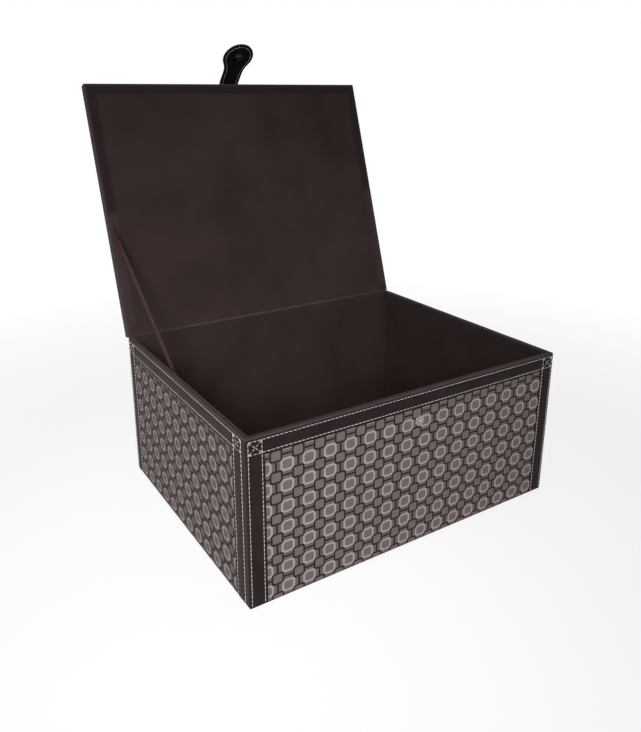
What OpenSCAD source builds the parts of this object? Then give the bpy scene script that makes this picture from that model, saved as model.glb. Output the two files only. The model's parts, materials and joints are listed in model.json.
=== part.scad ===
// Lidded stationery box: boards wrapped in leather strips and patterned cloth, with a
// flap lid on a leather hinge, a ribbon stay and a snap closure tab.
// X runs along the front, Y from the front to the back, Z up. The origin is the middle
// of the underside. The lid is drawn open, lying back on its ribbon.

/* [Box] */
// Width across the leather corners
box_w = 400; // [300:1:500]
// Depth from the front face to the back face
box_d = 313; // [240:1:400]
// Height with the lid shut
closed_h = 189; // [120:1:260]
// Thickness of the whole lid
lid_t = 10.5; // [8:0.1:16]
// Gap between the rim and the shut lid
lid_gap = 0.5; // [0.4:0.1:2]
// Angle of the lid from shut to lying back on its ribbon
open_angle = 108.4; // [95:0.1:120]

/* [Boards and skins] */
// Thickness of the wall boards
wall_board_t = 4; // [3:0.1:8]
// Thickness of the base board
base_board_t = 4; // [3:0.1:8]
// Thickness of the leather strips
leather_t = 1.2; // [0.8:0.1:2]
// Thickness of the patterned cloth
cloth_t = 0.8; // [0.4:0.1:1.2]
// Thickness of the lining and of the leather where it is turned in
lining_t = 0.8; // [0.5:0.1:1.5]
// Width that the covers turn under the base
hem_w = 12; // [8:0.5:25]
// Thickness of the sheet glued over the whole underside
sheet_t = 0.8; // [0.4:0.1:1.5]
// Distance of that sheet's edges from the box's faces
sheet_inset = 1; // [0.5:0.1:5]

/* [Leather strips] */
// Height of the stitched band below the rim
band_h = 19.2; // [15:0.1:40]
// Width of a corner strip on the front and back
corner_w = 19.4; // [15:0.1:40]
// Width of a front corner strip on the sides
corner_side_w = 27.5; // [15:0.1:45]
// Width of a back corner strip on the sides
corner_back_w = 19.4; // [15:0.1:45]
// Depth of the leather turned in below the rim
turn_in = 14; // [8:0.5:30]
// Width of the leather turned in under the lid
lid_turn_in = 13; // [8:0.5:30]
// Width of the leather border on top of the lid
lid_band_w = 19.4; // [15:0.1:40]

/* [Hinge] */
// Height of the hinge leather on the back wall
hinge_lap = 8; // [4:0.5:16]
// Height of the hinge leather on the lid's back edge
hinge_lid_lap = 6; // [3:0.5:7]
// Distance of the hinge leather's ends from the box's ends
hinge_inset = 2; // [1.5:0.1:10]
// Thickness of the cloth over the inside of the hinge
hinge_cloth_t = 0.4; // [0.2:0.05:0.45]
// Width of that cloth on the lid and down the back wall
hinge_cloth_w = 13; // [8:0.5:25]

/* [Closure tab] */
// Thickness of each of the tab's two plies
ply_t = 1.2; // [0.8:0.1:1.5]
// Width of the tab's neck
neck_w = 27.5; // [18:0.5:35]
// Radius of the tab's round head
head_r = 21; // [16:0.5:28]
// Radius of the curve from the neck into the head
flare_r = 30; // [20:0.5:60]
// Length of the tab's root on top of the lid
root_l = 34; // [26:0.5:60]
// Bend of the tab, from the lid's plane, as it stands open
tab_bend = 62; // [20:1:85]
// Distance of the snap below the rim
snap_drop = 34; // [25:0.5:60]

/* [Snap fastener] */
// Radius of the socket and of the cap
socket_r = 6.25; // [5:0.05:8]
// Radius of the hole in the socket
socket_hole_r = 2.6; // [2.4:0.05:3]
// Radius of the stud's flange
stud_flange_r = 5.5; // [4:0.05:7]
// Radius of the stud's head
stud_head_r = 2.3; // [1.8:0.05:2.35]
// Height of the stud above its flange
stud_h = 2.4; // [1.8:0.1:3]
// Thickness of the flanges on the stud and its rivet
flange_t = 0.8; // [0.5:0.05:1]
// Radius of the rivets' barrels
barrel_r = 1.5; // [1:0.05:1.7]
// Height of the cap's dome
cap_h = 1.4; // [0.8:0.1:2]

/* [Ribbon stay] */
// Width of the ribbon
ribbon_w = 10; // [6:0.5:16]
// Thickness of the ribbon
ribbon_t = 0.6; // [0.3:0.05:1]
// Distance along the lid from the hinge to the ribbon
ribbon_lid_reach = 130; // [80:1:180]
// Distance of the ribbon's glued end below the rim
ribbon_drop = 17; // [12:0.5:40]

/* [Hidden] */
$fn = 64;
dome_fn = 256;      // finer, for the shallow slice of a ball on the cap
fit_gap = 0.3;      // clearance of pieces on different bodies
hole_gap = 0.05;    // clearance round a rivet's barrel
leaf_gap = 0.05;    // clearance of the hinge strips from the lid that they bend with
snap_gap = 0.2;     // clearance at the stud's tip
seat_gap = 0.6;     // gap between the socket and the stud's flange, pressed shut
cut = 1;            // how far a cutting shape runs past what it cuts

body_h = closed_h - lid_t - lid_gap;
wall_t = leather_t + wall_board_t + lining_t;
half_w = box_w / 2;
half_d = box_d / 2;
board_x = half_w - leather_t;
board_y = half_d - leather_t;
inner_x = half_w - wall_t;
inner_y = half_d - wall_t;
board_top = body_h - leather_t;
hem_top = sheet_t + cloth_t;
floor_z = hem_top + base_board_t;
panel_recess = leather_t - cloth_t;
lid_z = body_h + lid_gap;
lid_board_t = lid_t - leather_t - lining_t;

axis_y = half_d;
axis_z = body_h + lid_gap / 2;

stud_z = body_h - snap_drop;
tab_standoff = flange_t + stud_h - panel_recess + snap_gap;
tab_axis_y = -half_d - tab_standoff - ply_t;
tab_axis_z = closed_h + ply_t;
snap_reach = tab_axis_z - stud_z;
socket_h = tab_standoff - (flange_t - panel_recess) - seat_gap;

leather_colour = "#2c2424";
cloth_colour = "#77706d";
board_colour = "#b3925f";
lining_colour = "#3b2f2e";
paper_colour = "#1d1a1a";
metal_colour = "#bdbab2";
ribbon_colour = "#7d5239";

// A block between two opposite corners
module block(low, high) {
    translate(low) cube(high - low);
}

// Turns what is drawn for the shut lid to the open lid
module opened() {
    translate([0, axis_y, axis_z]) rotate([-open_angle, 0, 0])
        translate([0, -axis_y, -axis_z]) children();
}

// Turns the tab, drawn flat in line with the lid, to its bend
module bent() {
    opened() translate([0, tab_axis_y, tab_axis_z]) rotate([tab_bend, 0, 0]) children();
}

// Where a point of the shut lid, seen from the end, lies on the open lid
function open_point(p) = let(y = p[0] - axis_y, z = p[1] - axis_z)
    [axis_y + y * cos(open_angle) + z * sin(open_angle),
     axis_z - y * sin(open_angle) + z * cos(open_angle)];

// Extrudes an outline drawn in Y and Z along X, from x0 to x1
module along_x(x0, x1) {
    translate([x0, 0, 0]) rotate([90, 0, 90]) linear_extrude(x1 - x0) children();
}

// Extrudes an outline drawn in X and Z along Y, from y0 to y1
module along_y(y0, y1) {
    translate([0, y1, 0]) rotate([90, 0, 0]) linear_extrude(y1 - y0) children();
}

// Section of the leather over a wall's rim: outside face at 0, top at body_h
module rim_section(outer_drop) {
    difference() {
        union() {
            translate([0, body_h - outer_drop]) square([leather_t, outer_drop - leather_t]);
            translate([leather_t, board_top]) square([wall_board_t, leather_t]);
            translate([leather_t, board_top]) circle(leather_t);
            translate([wall_t - lining_t, body_h - turn_in])
                square([lining_t, turn_in - lining_t]);
            translate([wall_t - lining_t, body_h - lining_t]) circle(lining_t);
        }
        translate([leather_t, 0]) square([wall_board_t, board_top]);
    }
}

// Section of a patterned panel: its face, and its hem under the board
module panel_section() {
    translate([panel_recess, sheet_t]) square([cloth_t, body_h - band_h - sheet_t]);
    translate([panel_recess, sheet_t]) square([hem_w - panel_recess, cloth_t]);
}

// Section of the leather round the lid's edge, with the edge face at 0
module lid_section() {
    difference() {
        union() {
            translate([0, lid_z + lining_t]) square([leather_t, lid_board_t]);
            translate([leather_t, closed_h - leather_t])
                square([lid_band_w - leather_t, leather_t]);
            translate([leather_t, closed_h - leather_t]) circle(leather_t);
            translate([lining_t, lid_z]) square([lid_turn_in - lining_t, lining_t]);
            translate([lining_t, lid_z + lining_t]) circle(lining_t);
        }
        translate([leather_t, lid_z + lining_t]) square([lid_band_w, lid_board_t]);
    }
}

// The room cut out of the back wall's leather for the hinge leather
module wall_leaf_room() {
    block([-half_w + hinge_inset, board_y, body_h - hinge_lap],
        [half_w - hinge_inset, half_d + cut, body_h + cut]);
}

// The room cut out of the shut lid's back edge for the hinge leather
module lid_leaf_room() {
    block([-half_w + hinge_inset, board_y - cut, lid_z - cut],
        [half_w - hinge_inset, half_d + cut, lid_z + hinge_lid_lap + leaf_gap]);
}

// The leather that isn't turned in under the lid's back edge, from x0 to x1
module no_turn_in(x0, x1) {
    block([x0, half_d - lid_turn_in - cut, lid_z - cut],
        [x1, half_d + cut, lid_z + hinge_lid_lap + leaf_gap]);
}

// The rivet's way through the front wall
module rivet_hole(radius) {
    translate([0, -half_d - cut, stud_z]) rotate([-90, 0, 0])
        cylinder(r = radius, h = wall_t + 2 * cut);
}

module base_board() {
    color(board_colour) block([-board_x + wall_board_t, -board_y + wall_board_t, hem_top],
        [board_x - wall_board_t, board_y - wall_board_t, floor_z]);
}

module front_board() {
    color(board_colour) difference() {
        block([-board_x, -board_y, hem_top], [board_x, -board_y + wall_board_t, board_top]);
        rivet_hole(barrel_r + hole_gap);
        translate([0, -board_y + wall_board_t - flange_t, stud_z]) rotate([-90, 0, 0])
            cylinder(r = stud_flange_r + hole_gap, h = flange_t + cut);
    }
}

module back_board() {
    color(board_colour) block([-board_x, board_y - wall_board_t, hem_top],
        [board_x, board_y, board_top]);
}

// The side board at side -1, left, or 1, right
module side_board(side) {
    color(board_colour) mirror([side < 0 ? 1 : 0, 0, 0])
        block([board_x - wall_board_t, -board_y + wall_board_t, hem_top],
            [board_x, board_y - wall_board_t, board_top]);
}

module front_panel() {
    color(cloth_colour) difference() {
        translate([0, -half_d, 0]) along_x(-half_w + corner_w, half_w - corner_w)
            panel_section();
        rivet_hole(barrel_r + hole_gap);
    }
}

module back_panel() {
    color(cloth_colour) mirror([0, 1, 0]) translate([0, -half_d, 0])
        along_x(-half_w + corner_w, half_w - corner_w) panel_section();
}

module side_panel(side) {
    color(cloth_colour) mirror([side > 0 ? 1 : 0, 0, 0]) translate([-half_w, 0, 0])
        along_y(-half_d + corner_side_w, half_d - corner_back_w) panel_section();
}

module front_band() {
    color(leather_colour) translate([0, -half_d, 0])
        along_x(-half_w + corner_w, half_w - corner_w) rim_section(band_h);
}

module back_band() {
    color(leather_colour) difference() {
        mirror([0, 1, 0]) front_band();
        wall_leaf_room();
    }
}

module side_band(side) {
    color(leather_colour) mirror([side > 0 ? 1 : 0, 0, 0]) translate([-half_w, 0, 0])
        along_y(-half_d + corner_side_w, half_d - corner_back_w) rim_section(band_h);
}

// Leather round one upright corner, over the rim and under the base, for the front left,
// where side_w is its width on the side
module corner_strip(side_w) {
    difference() {
        union() {
            translate([0, -half_d, 0]) along_x(-half_w, -half_w + corner_w)
                rim_section(body_h - sheet_t);
            translate([-half_w, 0, 0]) along_y(-half_d, -half_d + side_w)
                rim_section(body_h - sheet_t);
            block([-half_w, -half_d, sheet_t], [-half_w + corner_w, -half_d + hem_w, hem_top]);
            block([-half_w, -half_d, sheet_t], [-half_w + hem_w, -half_d + side_w, hem_top]);
        }
        // the two boards that the leather is folded round
        block([-board_x, -board_y, hem_top],
            [-half_w + corner_w + cut, -board_y + wall_board_t, board_top]);
        block([-board_x, -board_y, hem_top],
            [-board_x + wall_board_t, -half_d + side_w + cut, board_top]);
        // the upright edge is as round as the leather is thick
        translate([-half_w, -half_d, -cut]) difference() {
            translate([-cut, -cut, 0])
                cube([leather_t + cut, leather_t + cut, body_h + 2 * cut]);
            translate([leather_t, leather_t, -cut]) cylinder(r = leather_t, h = body_h + 4 * cut);
        }
    }
}

module corner_front_left() {
    color(leather_colour) corner_strip(corner_side_w);
}

module corner_front_right() {
    color(leather_colour) mirror([1, 0, 0]) corner_strip(corner_side_w);
}

module corner_back_left() {
    color(leather_colour) difference() {
        mirror([0, 1, 0]) corner_strip(corner_back_w);
        wall_leaf_room();
    }
}

module corner_back_right() {
    color(leather_colour) mirror([1, 0, 0]) corner_back_left();
}

module front_lining() {
    color(lining_colour) block([-inner_x - lining_t, -inner_y - lining_t, floor_z],
        [inner_x + lining_t, -inner_y, body_h - turn_in]);
}

module back_lining() {
    color(lining_colour) mirror([0, 1, 0]) front_lining();
}

module side_lining(side) {
    color(lining_colour) mirror([side > 0 ? 1 : 0, 0, 0])
        block([-inner_x - lining_t, -inner_y, floor_z], [-inner_x, inner_y, body_h - turn_in]);
}

module floor_lining() {
    color(lining_colour) block([-inner_x, -inner_y, floor_z], [inner_x, inner_y, floor_z + lining_t]);
}

module underside_sheet() {
    color(paper_colour) block([-half_w + sheet_inset, -half_d + sheet_inset, 0],
        [half_w - sheet_inset, half_d - sheet_inset, sheet_t]);
}

// The stud faces -Y and stands on the patterned cloth
module snap_stud() {
    color(metal_colour) translate([0, -half_d + panel_recess, stud_z]) rotate([90, 0, 0]) {
        cylinder(r = stud_flange_r, h = flange_t);
        cylinder(r = stud_head_r - fit_gap, h = flange_t + stud_h);
        translate([0, 0, flange_t + stud_h / 2]) cylinder(r = stud_head_r, h = stud_h / 2);
    }
}

// The rivet that holds the stud, with its flange let into the back of the front board
module stud_rivet() {
    color(metal_colour) translate([0, -board_y + wall_board_t, stud_z]) rotate([90, 0, 0]) {
        cylinder(r = stud_flange_r, h = flange_t);
        cylinder(r = barrel_r, h = wall_board_t + cloth_t);
    }
}

// The ribbon runs flat beside the left wall, from its glued end up to the open lid
module ribbon_stay() {
    low = [0, body_h - ribbon_drop];
    high = open_point([half_d - ribbon_lid_reach, lid_z - fit_gap]);
    run = (high - low) / norm(high - low);
    across = [-run[1], run[0]];
    face = open_point([0, lid_z - fit_gap]) - high;
    face_run = face / norm(face);
    // how much further each edge of the ribbon reaches to meet the slanting lid
    skew = ribbon_w / 2 * (run * face_run) / (across * face_run);
    near = low + across * ribbon_w / 2;
    far = low - across * ribbon_w / 2;
    color(ribbon_colour) along_x(-inner_x, -inner_x + ribbon_t)
        polygon([near, far, high - across * ribbon_w / 2 - run * skew,
            high + across * ribbon_w / 2 + run * skew]);
}

// One strip from the back wall, round the fold, to the lid's back edge
module hinge_leather() {
    fold_x = half_w - hinge_inset;
    color(leather_colour) along_x(-fold_x, fold_x) polygon([
        [board_y, body_h - hinge_lap], [half_d, body_h - hinge_lap], [half_d, body_h],
        open_point([half_d, lid_z]), open_point([half_d, lid_z + hinge_lid_lap]),
        open_point([board_y + leaf_gap, lid_z + hinge_lid_lap]),
        open_point([board_y + leaf_gap, lid_z - leaf_gap]), [board_y, body_h]]);
}

// The cloth over the inside of the hinge, from the back wall over its rim to the lid
module hinge_cloth() {
    cloth_x = inner_x - fit_gap;
    face_z = lid_z - leaf_gap;
    color(lining_colour) along_x(-cloth_x, cloth_x) polygon([
        [inner_y - hinge_cloth_t, body_h - hinge_cloth_w], [inner_y, body_h - hinge_cloth_w],
        [inner_y, body_h], [board_y, body_h], open_point([board_y + leaf_gap, face_z]),
        open_point([half_d - hinge_cloth_w, face_z]),
        open_point([half_d - hinge_cloth_w, face_z - hinge_cloth_t]),
        open_point([board_y, face_z - hinge_cloth_t]),
        [board_y, body_h + hinge_cloth_t], [inner_y - hinge_cloth_t, body_h + hinge_cloth_t]]);
}

module lid_board() {
    color(board_colour) opened() block([-board_x, -board_y, lid_z + lining_t],
        [board_x, board_y, lid_z + lining_t + lid_board_t]);
}

module lid_panel() {
    color(cloth_colour) opened() block([-half_w + lid_band_w, -half_d + lid_band_w,
        closed_h - leather_t], [half_w - lid_band_w, half_d - lid_band_w,
        closed_h - leather_t + cloth_t]);
}

module lid_front_band() {
    color(leather_colour) opened() translate([0, -half_d, 0])
        along_x(-half_w + lid_band_w, half_w - lid_band_w) lid_section();
}

// The back border has no leather under the lid, where the lining runs to the hinge
module lid_back_band() {
    color(leather_colour) opened() difference() {
        mirror([0, 1, 0]) translate([0, -half_d, 0])
            along_x(-half_w + lid_band_w, half_w - lid_band_w) lid_section();
        no_turn_in(-half_w, half_w);
    }
}

// A side border of the lid runs its whole depth and is folded over both its corners
module lid_left_border() {
    opened() difference() {
        union() {
            translate([-half_w, 0, 0]) along_y(-half_d, half_d) lid_section();
            for (end = [0, 1])
                mirror([0, end, 0]) translate([0, -half_d, 0])
                    along_x(-half_w, -half_w + lid_band_w) lid_section();
        }
        block([-board_x, -board_y, lid_z + lining_t], [0, board_y, closed_h - leather_t]);
        no_turn_in(-half_w + lid_turn_in, 0);
        lid_leaf_room();
    }
}

module lid_left_band() {
    color(leather_colour) lid_left_border();
}

module lid_right_band() {
    color(leather_colour) mirror([1, 0, 0]) lid_left_border();
}

module lid_lining() {
    color(lining_colour) opened() block([-half_w + lid_turn_in, -half_d + lid_turn_in, lid_z],
        [half_w - lid_turn_in, board_y, lid_z + lining_t]);
}

// The end of the tab that is sewn to the top of the lid, and reaches out to the bend
module tab_root() {
    root_y = -half_d + root_l;
    color(leather_colour) opened() translate([0, 0, closed_h]) linear_extrude(2 * ply_t) {
        translate([-neck_w / 2, tab_axis_y + ply_t + fit_gap])
            square([neck_w, root_y - neck_w / 2 - tab_axis_y - ply_t - fit_gap]);
        translate([0, root_y - neck_w / 2]) circle(neck_w / 2);
    }
}

// Outline of the free tab, hanging along -Y from the bend at the origin
module tab_outline(start) {
    flare_x = neck_w / 2 + flare_r;
    flare_y = snap_reach - sqrt(pow(flare_r + head_r, 2) - flare_x * flare_x);
    touch = [flare_x, flare_y - snap_reach] * head_r / (flare_r + head_r);
    mirror([0, 1, 0]) {
        translate([-neck_w / 2, start]) square([neck_w, snap_reach - start]);
        translate([0, snap_reach]) circle(head_r);
        difference() {
            polygon([[-neck_w / 2, flare_y], [neck_w / 2, flare_y],
                [touch[0], snap_reach + touch[1]], [-touch[0], snap_reach + touch[1]]]);
            for (side = [-1, 1]) translate([side * flare_x, flare_y]) circle(flare_r);
        }
    }
}

module tab_outer_ply() {
    color(leather_colour) bent() difference() {
        union() {
            linear_extrude(ply_t) tab_outline(0);
            rotate([0, 90, 0]) cylinder(r = ply_t, h = neck_w, center = true);
        }
        translate([0, -snap_reach, -cut]) cylinder(r = barrel_r + hole_gap, h = ply_t + 2 * cut);
    }
}

module tab_inner_ply() {
    color(leather_colour) bent() difference() {
        translate([0, 0, -ply_t]) linear_extrude(ply_t) tab_outline(ply_t + hole_gap);
        translate([0, -snap_reach, -ply_t - cut])
            cylinder(r = socket_hole_r + flange_t + hole_gap, h = ply_t + 2 * cut);
    }
}

// The cap's dome is a slice of a ball, and its barrel goes through the outer ply
module snap_cap() {
    ball_r = (socket_r * socket_r + cap_h * cap_h) / (2 * cap_h);
    color(metal_colour) bent() translate([0, -snap_reach, 0]) {
        cylinder(r = barrel_r, h = ply_t);
        intersection() {
            translate([0, 0, ply_t + cap_h - ball_r]) sphere(r = ball_r, $fn = dome_fn);
            translate([0, 0, ply_t]) cylinder(r = socket_r, h = cap_h + cut);
        }
    }
}

// The socket stands on the inner ply, with its tube let into it
module snap_socket() {
    color(metal_colour) bent() translate([0, -snap_reach, -ply_t - socket_h]) difference() {
        union() {
            cylinder(r = socket_r, h = socket_h);
            cylinder(r = socket_hole_r + flange_t, h = socket_h + ply_t);
        }
        translate([0, 0, -cut]) cylinder(r = socket_hole_r, h = socket_h + ply_t - flange_t / 2 + cut);
    }
}

base_board();
front_board();
back_board();
side_board(-1);  // left_board
side_board(1);  // right_board
front_panel();
back_panel();
side_panel(-1);  // left_panel
side_panel(1);  // right_panel
front_band();
back_band();
side_band(-1);  // left_band
side_band(1);  // right_band
corner_front_left();
corner_front_right();
corner_back_left();
corner_back_right();
front_lining();
back_lining();
side_lining(-1);  // left_lining
side_lining(1);  // right_lining
floor_lining();
underside_sheet();
snap_stud();
stud_rivet();
ribbon_stay();
hinge_leather();
hinge_cloth();
lid_board();
lid_panel();
lid_front_band();
lid_back_band();
lid_left_band();
lid_right_band();
lid_lining();
tab_root();
tab_outer_ply();
tab_inner_ply();
snap_cap();
snap_socket();
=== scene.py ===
# %% [markdown]
# # A stationery box, dressed in leather and woven cloth
#
# The box is a carcass of thin boards. Woven cloth covers the faces, and dark leather strips
# cover the rim and the upright corners, each sewn with two rows of white thread. The lid lies
# back on a satin ribbon, and a leather tab with a snap closes it.
#
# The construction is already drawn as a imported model, the frame. This lesson keeps each piece
# where the frame has it and gives it a surface: leather that folds over the rim, thread that
# lies in a groove, cloth with its woven lattice. Lengths are in metres, and +Z is up.

# %% Loading the frame
import json
import math

import bmesh
import bpy
import numpy as np
from mathutils import Matrix


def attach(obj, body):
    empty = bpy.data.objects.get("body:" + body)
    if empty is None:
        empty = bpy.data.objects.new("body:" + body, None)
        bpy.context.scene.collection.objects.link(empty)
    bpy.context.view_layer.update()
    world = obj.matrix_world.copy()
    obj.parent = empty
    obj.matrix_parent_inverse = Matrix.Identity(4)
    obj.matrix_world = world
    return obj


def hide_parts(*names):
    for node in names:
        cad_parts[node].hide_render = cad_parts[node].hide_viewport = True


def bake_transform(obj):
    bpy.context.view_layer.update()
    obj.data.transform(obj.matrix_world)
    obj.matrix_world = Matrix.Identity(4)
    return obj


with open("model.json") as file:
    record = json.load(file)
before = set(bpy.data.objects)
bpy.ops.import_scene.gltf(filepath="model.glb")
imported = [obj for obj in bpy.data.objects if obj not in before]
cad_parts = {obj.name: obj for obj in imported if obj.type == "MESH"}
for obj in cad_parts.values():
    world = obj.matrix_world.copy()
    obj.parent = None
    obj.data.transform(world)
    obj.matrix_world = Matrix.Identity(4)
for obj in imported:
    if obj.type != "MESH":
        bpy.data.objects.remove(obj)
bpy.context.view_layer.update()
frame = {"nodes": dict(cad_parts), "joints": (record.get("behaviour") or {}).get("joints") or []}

# %% [markdown]
# ## The camera
#
# A camera could be placed by eye, but then it would sit a little off the picture. These values
# come from a fit: corners and outlines of the box, whose real places are known, were matched to
# their places in the picture. The real lens bends straight lines outwards a little, which this one
# can't, so the fit shares the error out. The picture was cropped a little off its middle, which
# the two shifts put back.

# %% The camera
mm = 0.001
PHOTO_SIZE = (641, 732)
CAMERA_PLACE = (-446.3 * mm, -659.1 * mm, 472.0 * mm)
CAMERA_TURN = math.radians(32.725)     # to the right of straight back
CAMERA_DOWN = math.radians(17.083)     # below the horizon
CAMERA_ROLL = math.radians(0.167)
FOCAL_PIXELS = 711.1
OPTICAL_CENTRE = (319.4, 305.3)        # in pixels of the photograph
SENSOR = 36.0                          # millimetres on the long side


def photo_camera():
    """A camera whose right, up and back axes are turned by the three angles.

    Lens = focal length in pixels times sensor over long side; a shift is the distance from the
    picture's middle to the optical centre, over the long side."""
    wide, tall = PHOTO_SIZE
    camera = bpy.data.cameras.new("camera")
    camera.sensor_width = SENSOR
    camera.lens = FOCAL_PIXELS * SENSOR / tall
    camera.shift_x = (wide / 2 - OPTICAL_CENTRE[0]) / tall
    camera.shift_y = (OPTICAL_CENTRE[1] - tall / 2) / tall
    camera.clip_start = 10 * mm
    obj = bpy.data.objects.new("camera", camera)
    obj.matrix_world = (Matrix.Translation(CAMERA_PLACE)
                        @ Matrix.Rotation(-CAMERA_TURN, 4, "Z")
                        @ Matrix.Rotation(math.pi / 2 - CAMERA_DOWN, 4, "X")
                        @ Matrix.Rotation(CAMERA_ROLL, 4, "Z"))
    bpy.context.scene.collection.objects.link(obj)
    bpy.context.scene.camera = obj
    return camera


lens = photo_camera().lens
print(f"lens {lens:.2f} mm")

# %% [markdown]
# ## Sizes from the frame
#
# Every size that the frame already has is read from it, so the two can't drift apart. The lid's
# nodes lie open, at a slant, so their boxes are no use as they are. Their points are first
# turned back about the hinge to the shut lid, where the lid is a flat block again. New pieces
# of the lid are worked out shut, too, and opened at the end.

# %% Sizes from the frame
joints = {j["name"]: j for j in frame["joints"]}
HINGE = np.array(joints["lid_hinge"]["pos_m"])
OPEN_ANGLE = math.radians(joints["lid_hinge"]["range_deg"][1])


def turned(points, pivot, angle):
    """Points turned about an axis along X through pivot: y' = y cos a - z sin a, and
    z' = y sin a + z cos a, both measured from the pivot."""
    y = points[..., 1] - pivot[1]
    z = points[..., 2] - pivot[2]
    cos, sin = math.cos(angle), math.sin(angle)
    return np.stack([points[..., 0], pivot[1] + y * cos - z * sin, pivot[2] + y * sin + z * cos], -1)


def opened(points):
    """Points of the shut lid, turned back about the hinge to the open lid."""
    return turned(points, HINGE, -OPEN_ANGLE)


def corner_pair(node, shut=False):
    """A node's lowest and highest corner, and those of the shut lid if shut is true."""
    mesh = frame["nodes"][node].data
    flat = np.empty(3 * len(mesh.vertices), np.float32)
    mesh.vertices.foreach_get("co", flat)
    points = flat.reshape(-1, 3).astype(float)
    if shut:
        points = turned(points, HINGE, OPEN_ANGLE)
    return points.min(0), points.max(0)


low, high = corner_pair("corner_front_left")
half_w, half_d, body_h = -low[0], -low[1], high[2]
corner_w, corner_side_w = high[0] - low[0], high[1] - low[1]
low, high = corner_pair("corner_back_left")
corner_back_w = high[1] - low[1]
low, high = corner_pair("front_band")
band_h, wall_t = high[2] - low[2], high[1] - low[1]
sheet_t = corner_pair("underside_sheet")[1][2]
hem_top = corner_pair("base_board")[0][2]
hem_w = corner_pair("front_panel")[1][1] + half_d
leather_t = corner_pair("front_board")[0][1] + half_d
low, high = corner_pair("front_lining")
lining_t, turn_in = high[1] - low[1], body_h - high[2]
inner_y = half_d - wall_t

low, high = corner_pair("lid_front_band", shut=True)
lid_z, closed_h, lid_band_w = low[2], high[2], high[1] - low[1]
low, high = corner_pair("lid_lining", shut=True)
lid_turn_in = low[0] + half_w
hinge_lid_lap = corner_pair("lid_back_band", shut=True)[0][2] - lid_z
hinge_lap = body_h - corner_pair("hinge_leather")[0][2]
print(f"box {2000 * half_w:.1f} x {2000 * half_d:.1f} mm, body {1000 * body_h:.1f} mm high,",
      f"lid {1000 * (closed_h - lid_z):.1f} mm thick")

# %% [markdown]
# ## Meshes from whole arrays
#
# A strip of leather could be an extruded outline, but a real one is folded, sewn and pressed.
# So each surface is a grid of points: a formula gives every point at once, and the faces follow
# from the grid's own numbering. A closed skin is two such grids, the outer face and the inner
# one, joined along their edges.

# %% Grids and skins
MERGE = 1e-6


def grid_faces(rows, columns, closed=False):
    """Quads of a grid whose point (i, j) is number i times columns plus j. Closed joins the
    last column to the first."""
    i, j = np.meshgrid(np.arange(rows - 1), np.arange(columns - (not closed)), indexing="ij")
    k = (j + 1) % columns
    quads = [i * columns + j, i * columns + k, (i + 1) * columns + k, (i + 1) * columns + j]
    return np.stack(quads, -1).reshape(-1, 4)


def skin(outer, inner):
    """A closed skin: ring i goes along outer row i and back along inner row i, neighbouring
    rings are joined, and the first and last ring are filled with quads straight across."""
    rings = np.concatenate([outer, inner[:, ::-1]], axis=1)
    count, around = rings.shape[:2]
    j = np.arange(around // 2 - 1)
    cap = np.stack([j, j + 1, around - 2 - j, around - 1 - j], -1)
    faces = np.concatenate([grid_faces(count, around, closed=True), cap, cap + (count - 1) * around])
    return rings.reshape(-1, 3), faces


def put(name, points, faces, finish, values=None):
    """Puts a surface into the scene, with doubles merged and faces turned outwards. Values are
    numbers per point, kept as attributes that a finish can read."""
    mesh = bpy.data.meshes.new(name)
    mesh.vertices.add(len(points))
    mesh.vertices.foreach_set("co", np.ascontiguousarray(points, np.float32).ravel())
    mesh.loops.add(faces.size)
    mesh.loops.foreach_set("vertex_index", np.ascontiguousarray(faces, np.int32).ravel())
    mesh.polygons.add(len(faces))
    mesh.polygons.foreach_set("loop_start", np.arange(0, faces.size, faces.shape[1], dtype=np.int32))
    mesh.update(calc_edges=True)
    for key, numbers in (values or {}).items():
        layer = mesh.attributes.new(key, "FLOAT", "POINT")
        layer.data.foreach_set("value", np.ascontiguousarray(numbers, np.float32).ravel())
    work = bmesh.new()
    work.from_mesh(mesh)
    bmesh.ops.remove_doubles(work, verts=work.verts, dist=MERGE)
    bmesh.ops.recalc_face_normals(work, faces=work.faces)
    work.to_mesh(mesh)
    work.free()
    mesh.shade_smooth()
    mesh.materials.append(finish)
    obj = bpy.data.objects.new(name, mesh)
    bpy.context.scene.collection.objects.link(obj)
    return obj


def soften(obj, width, segments=2, angle=45):
    """Rounds every edge that is sharper than the angle."""
    bevel = obj.modifiers.new("soft edges", "BEVEL")
    bevel.width = width
    bevel.segments = segments
    bevel.limit_method = "ANGLE"
    bevel.angle_limit = math.radians(angle)
    bevel.harden_normals = True
    return obj


# %% [markdown]
# ## Finishes as sums
#
# A procedural finish is a graph of nodes. Wired by hand it is long and hard to read, so one
# small class lets a socket take part in ordinary sums: `1 - mask` adds the Math node by itself.
# Every other node comes from one method.

# %% Finishes as sums
class Wire:
    """One output of a finish. A sum written with it adds Math nodes to that finish."""

    def __init__(self, finish, socket):
        self.finish = finish
        self.socket = socket

    def maths(self, operation, *others, clamp=False):
        return sums(operation, self, *others, clamp=clamp)

    def __add__(self, other):
        return sums("ADD", self, other)

    def __radd__(self, other):
        return sums("ADD", other, self)

    def __sub__(self, other):
        return sums("SUBTRACT", self, other)

    def __rsub__(self, other):
        return sums("SUBTRACT", other, self)

    def __mul__(self, other):
        return sums("MULTIPLY", self, other)

    def __rmul__(self, other):
        return sums("MULTIPLY", other, self)

    def __truediv__(self, other):
        return sums("DIVIDE", self, other)

    def __rtruediv__(self, other):
        return sums("DIVIDE", other, self)


def sums(operation, *terms, clamp=False):
    """Adds a Math node for the operation to the finish of the first term that is a wire."""
    finish = next(term.finish for term in terms if isinstance(term, Wire))
    settings = {"operation": operation, "use_clamp": clamp}
    return finish.node("ShaderNodeMath", settings, dict(enumerate(terms)))


def larger(a, b):
    return sums("MAXIMUM", a, b)


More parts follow.
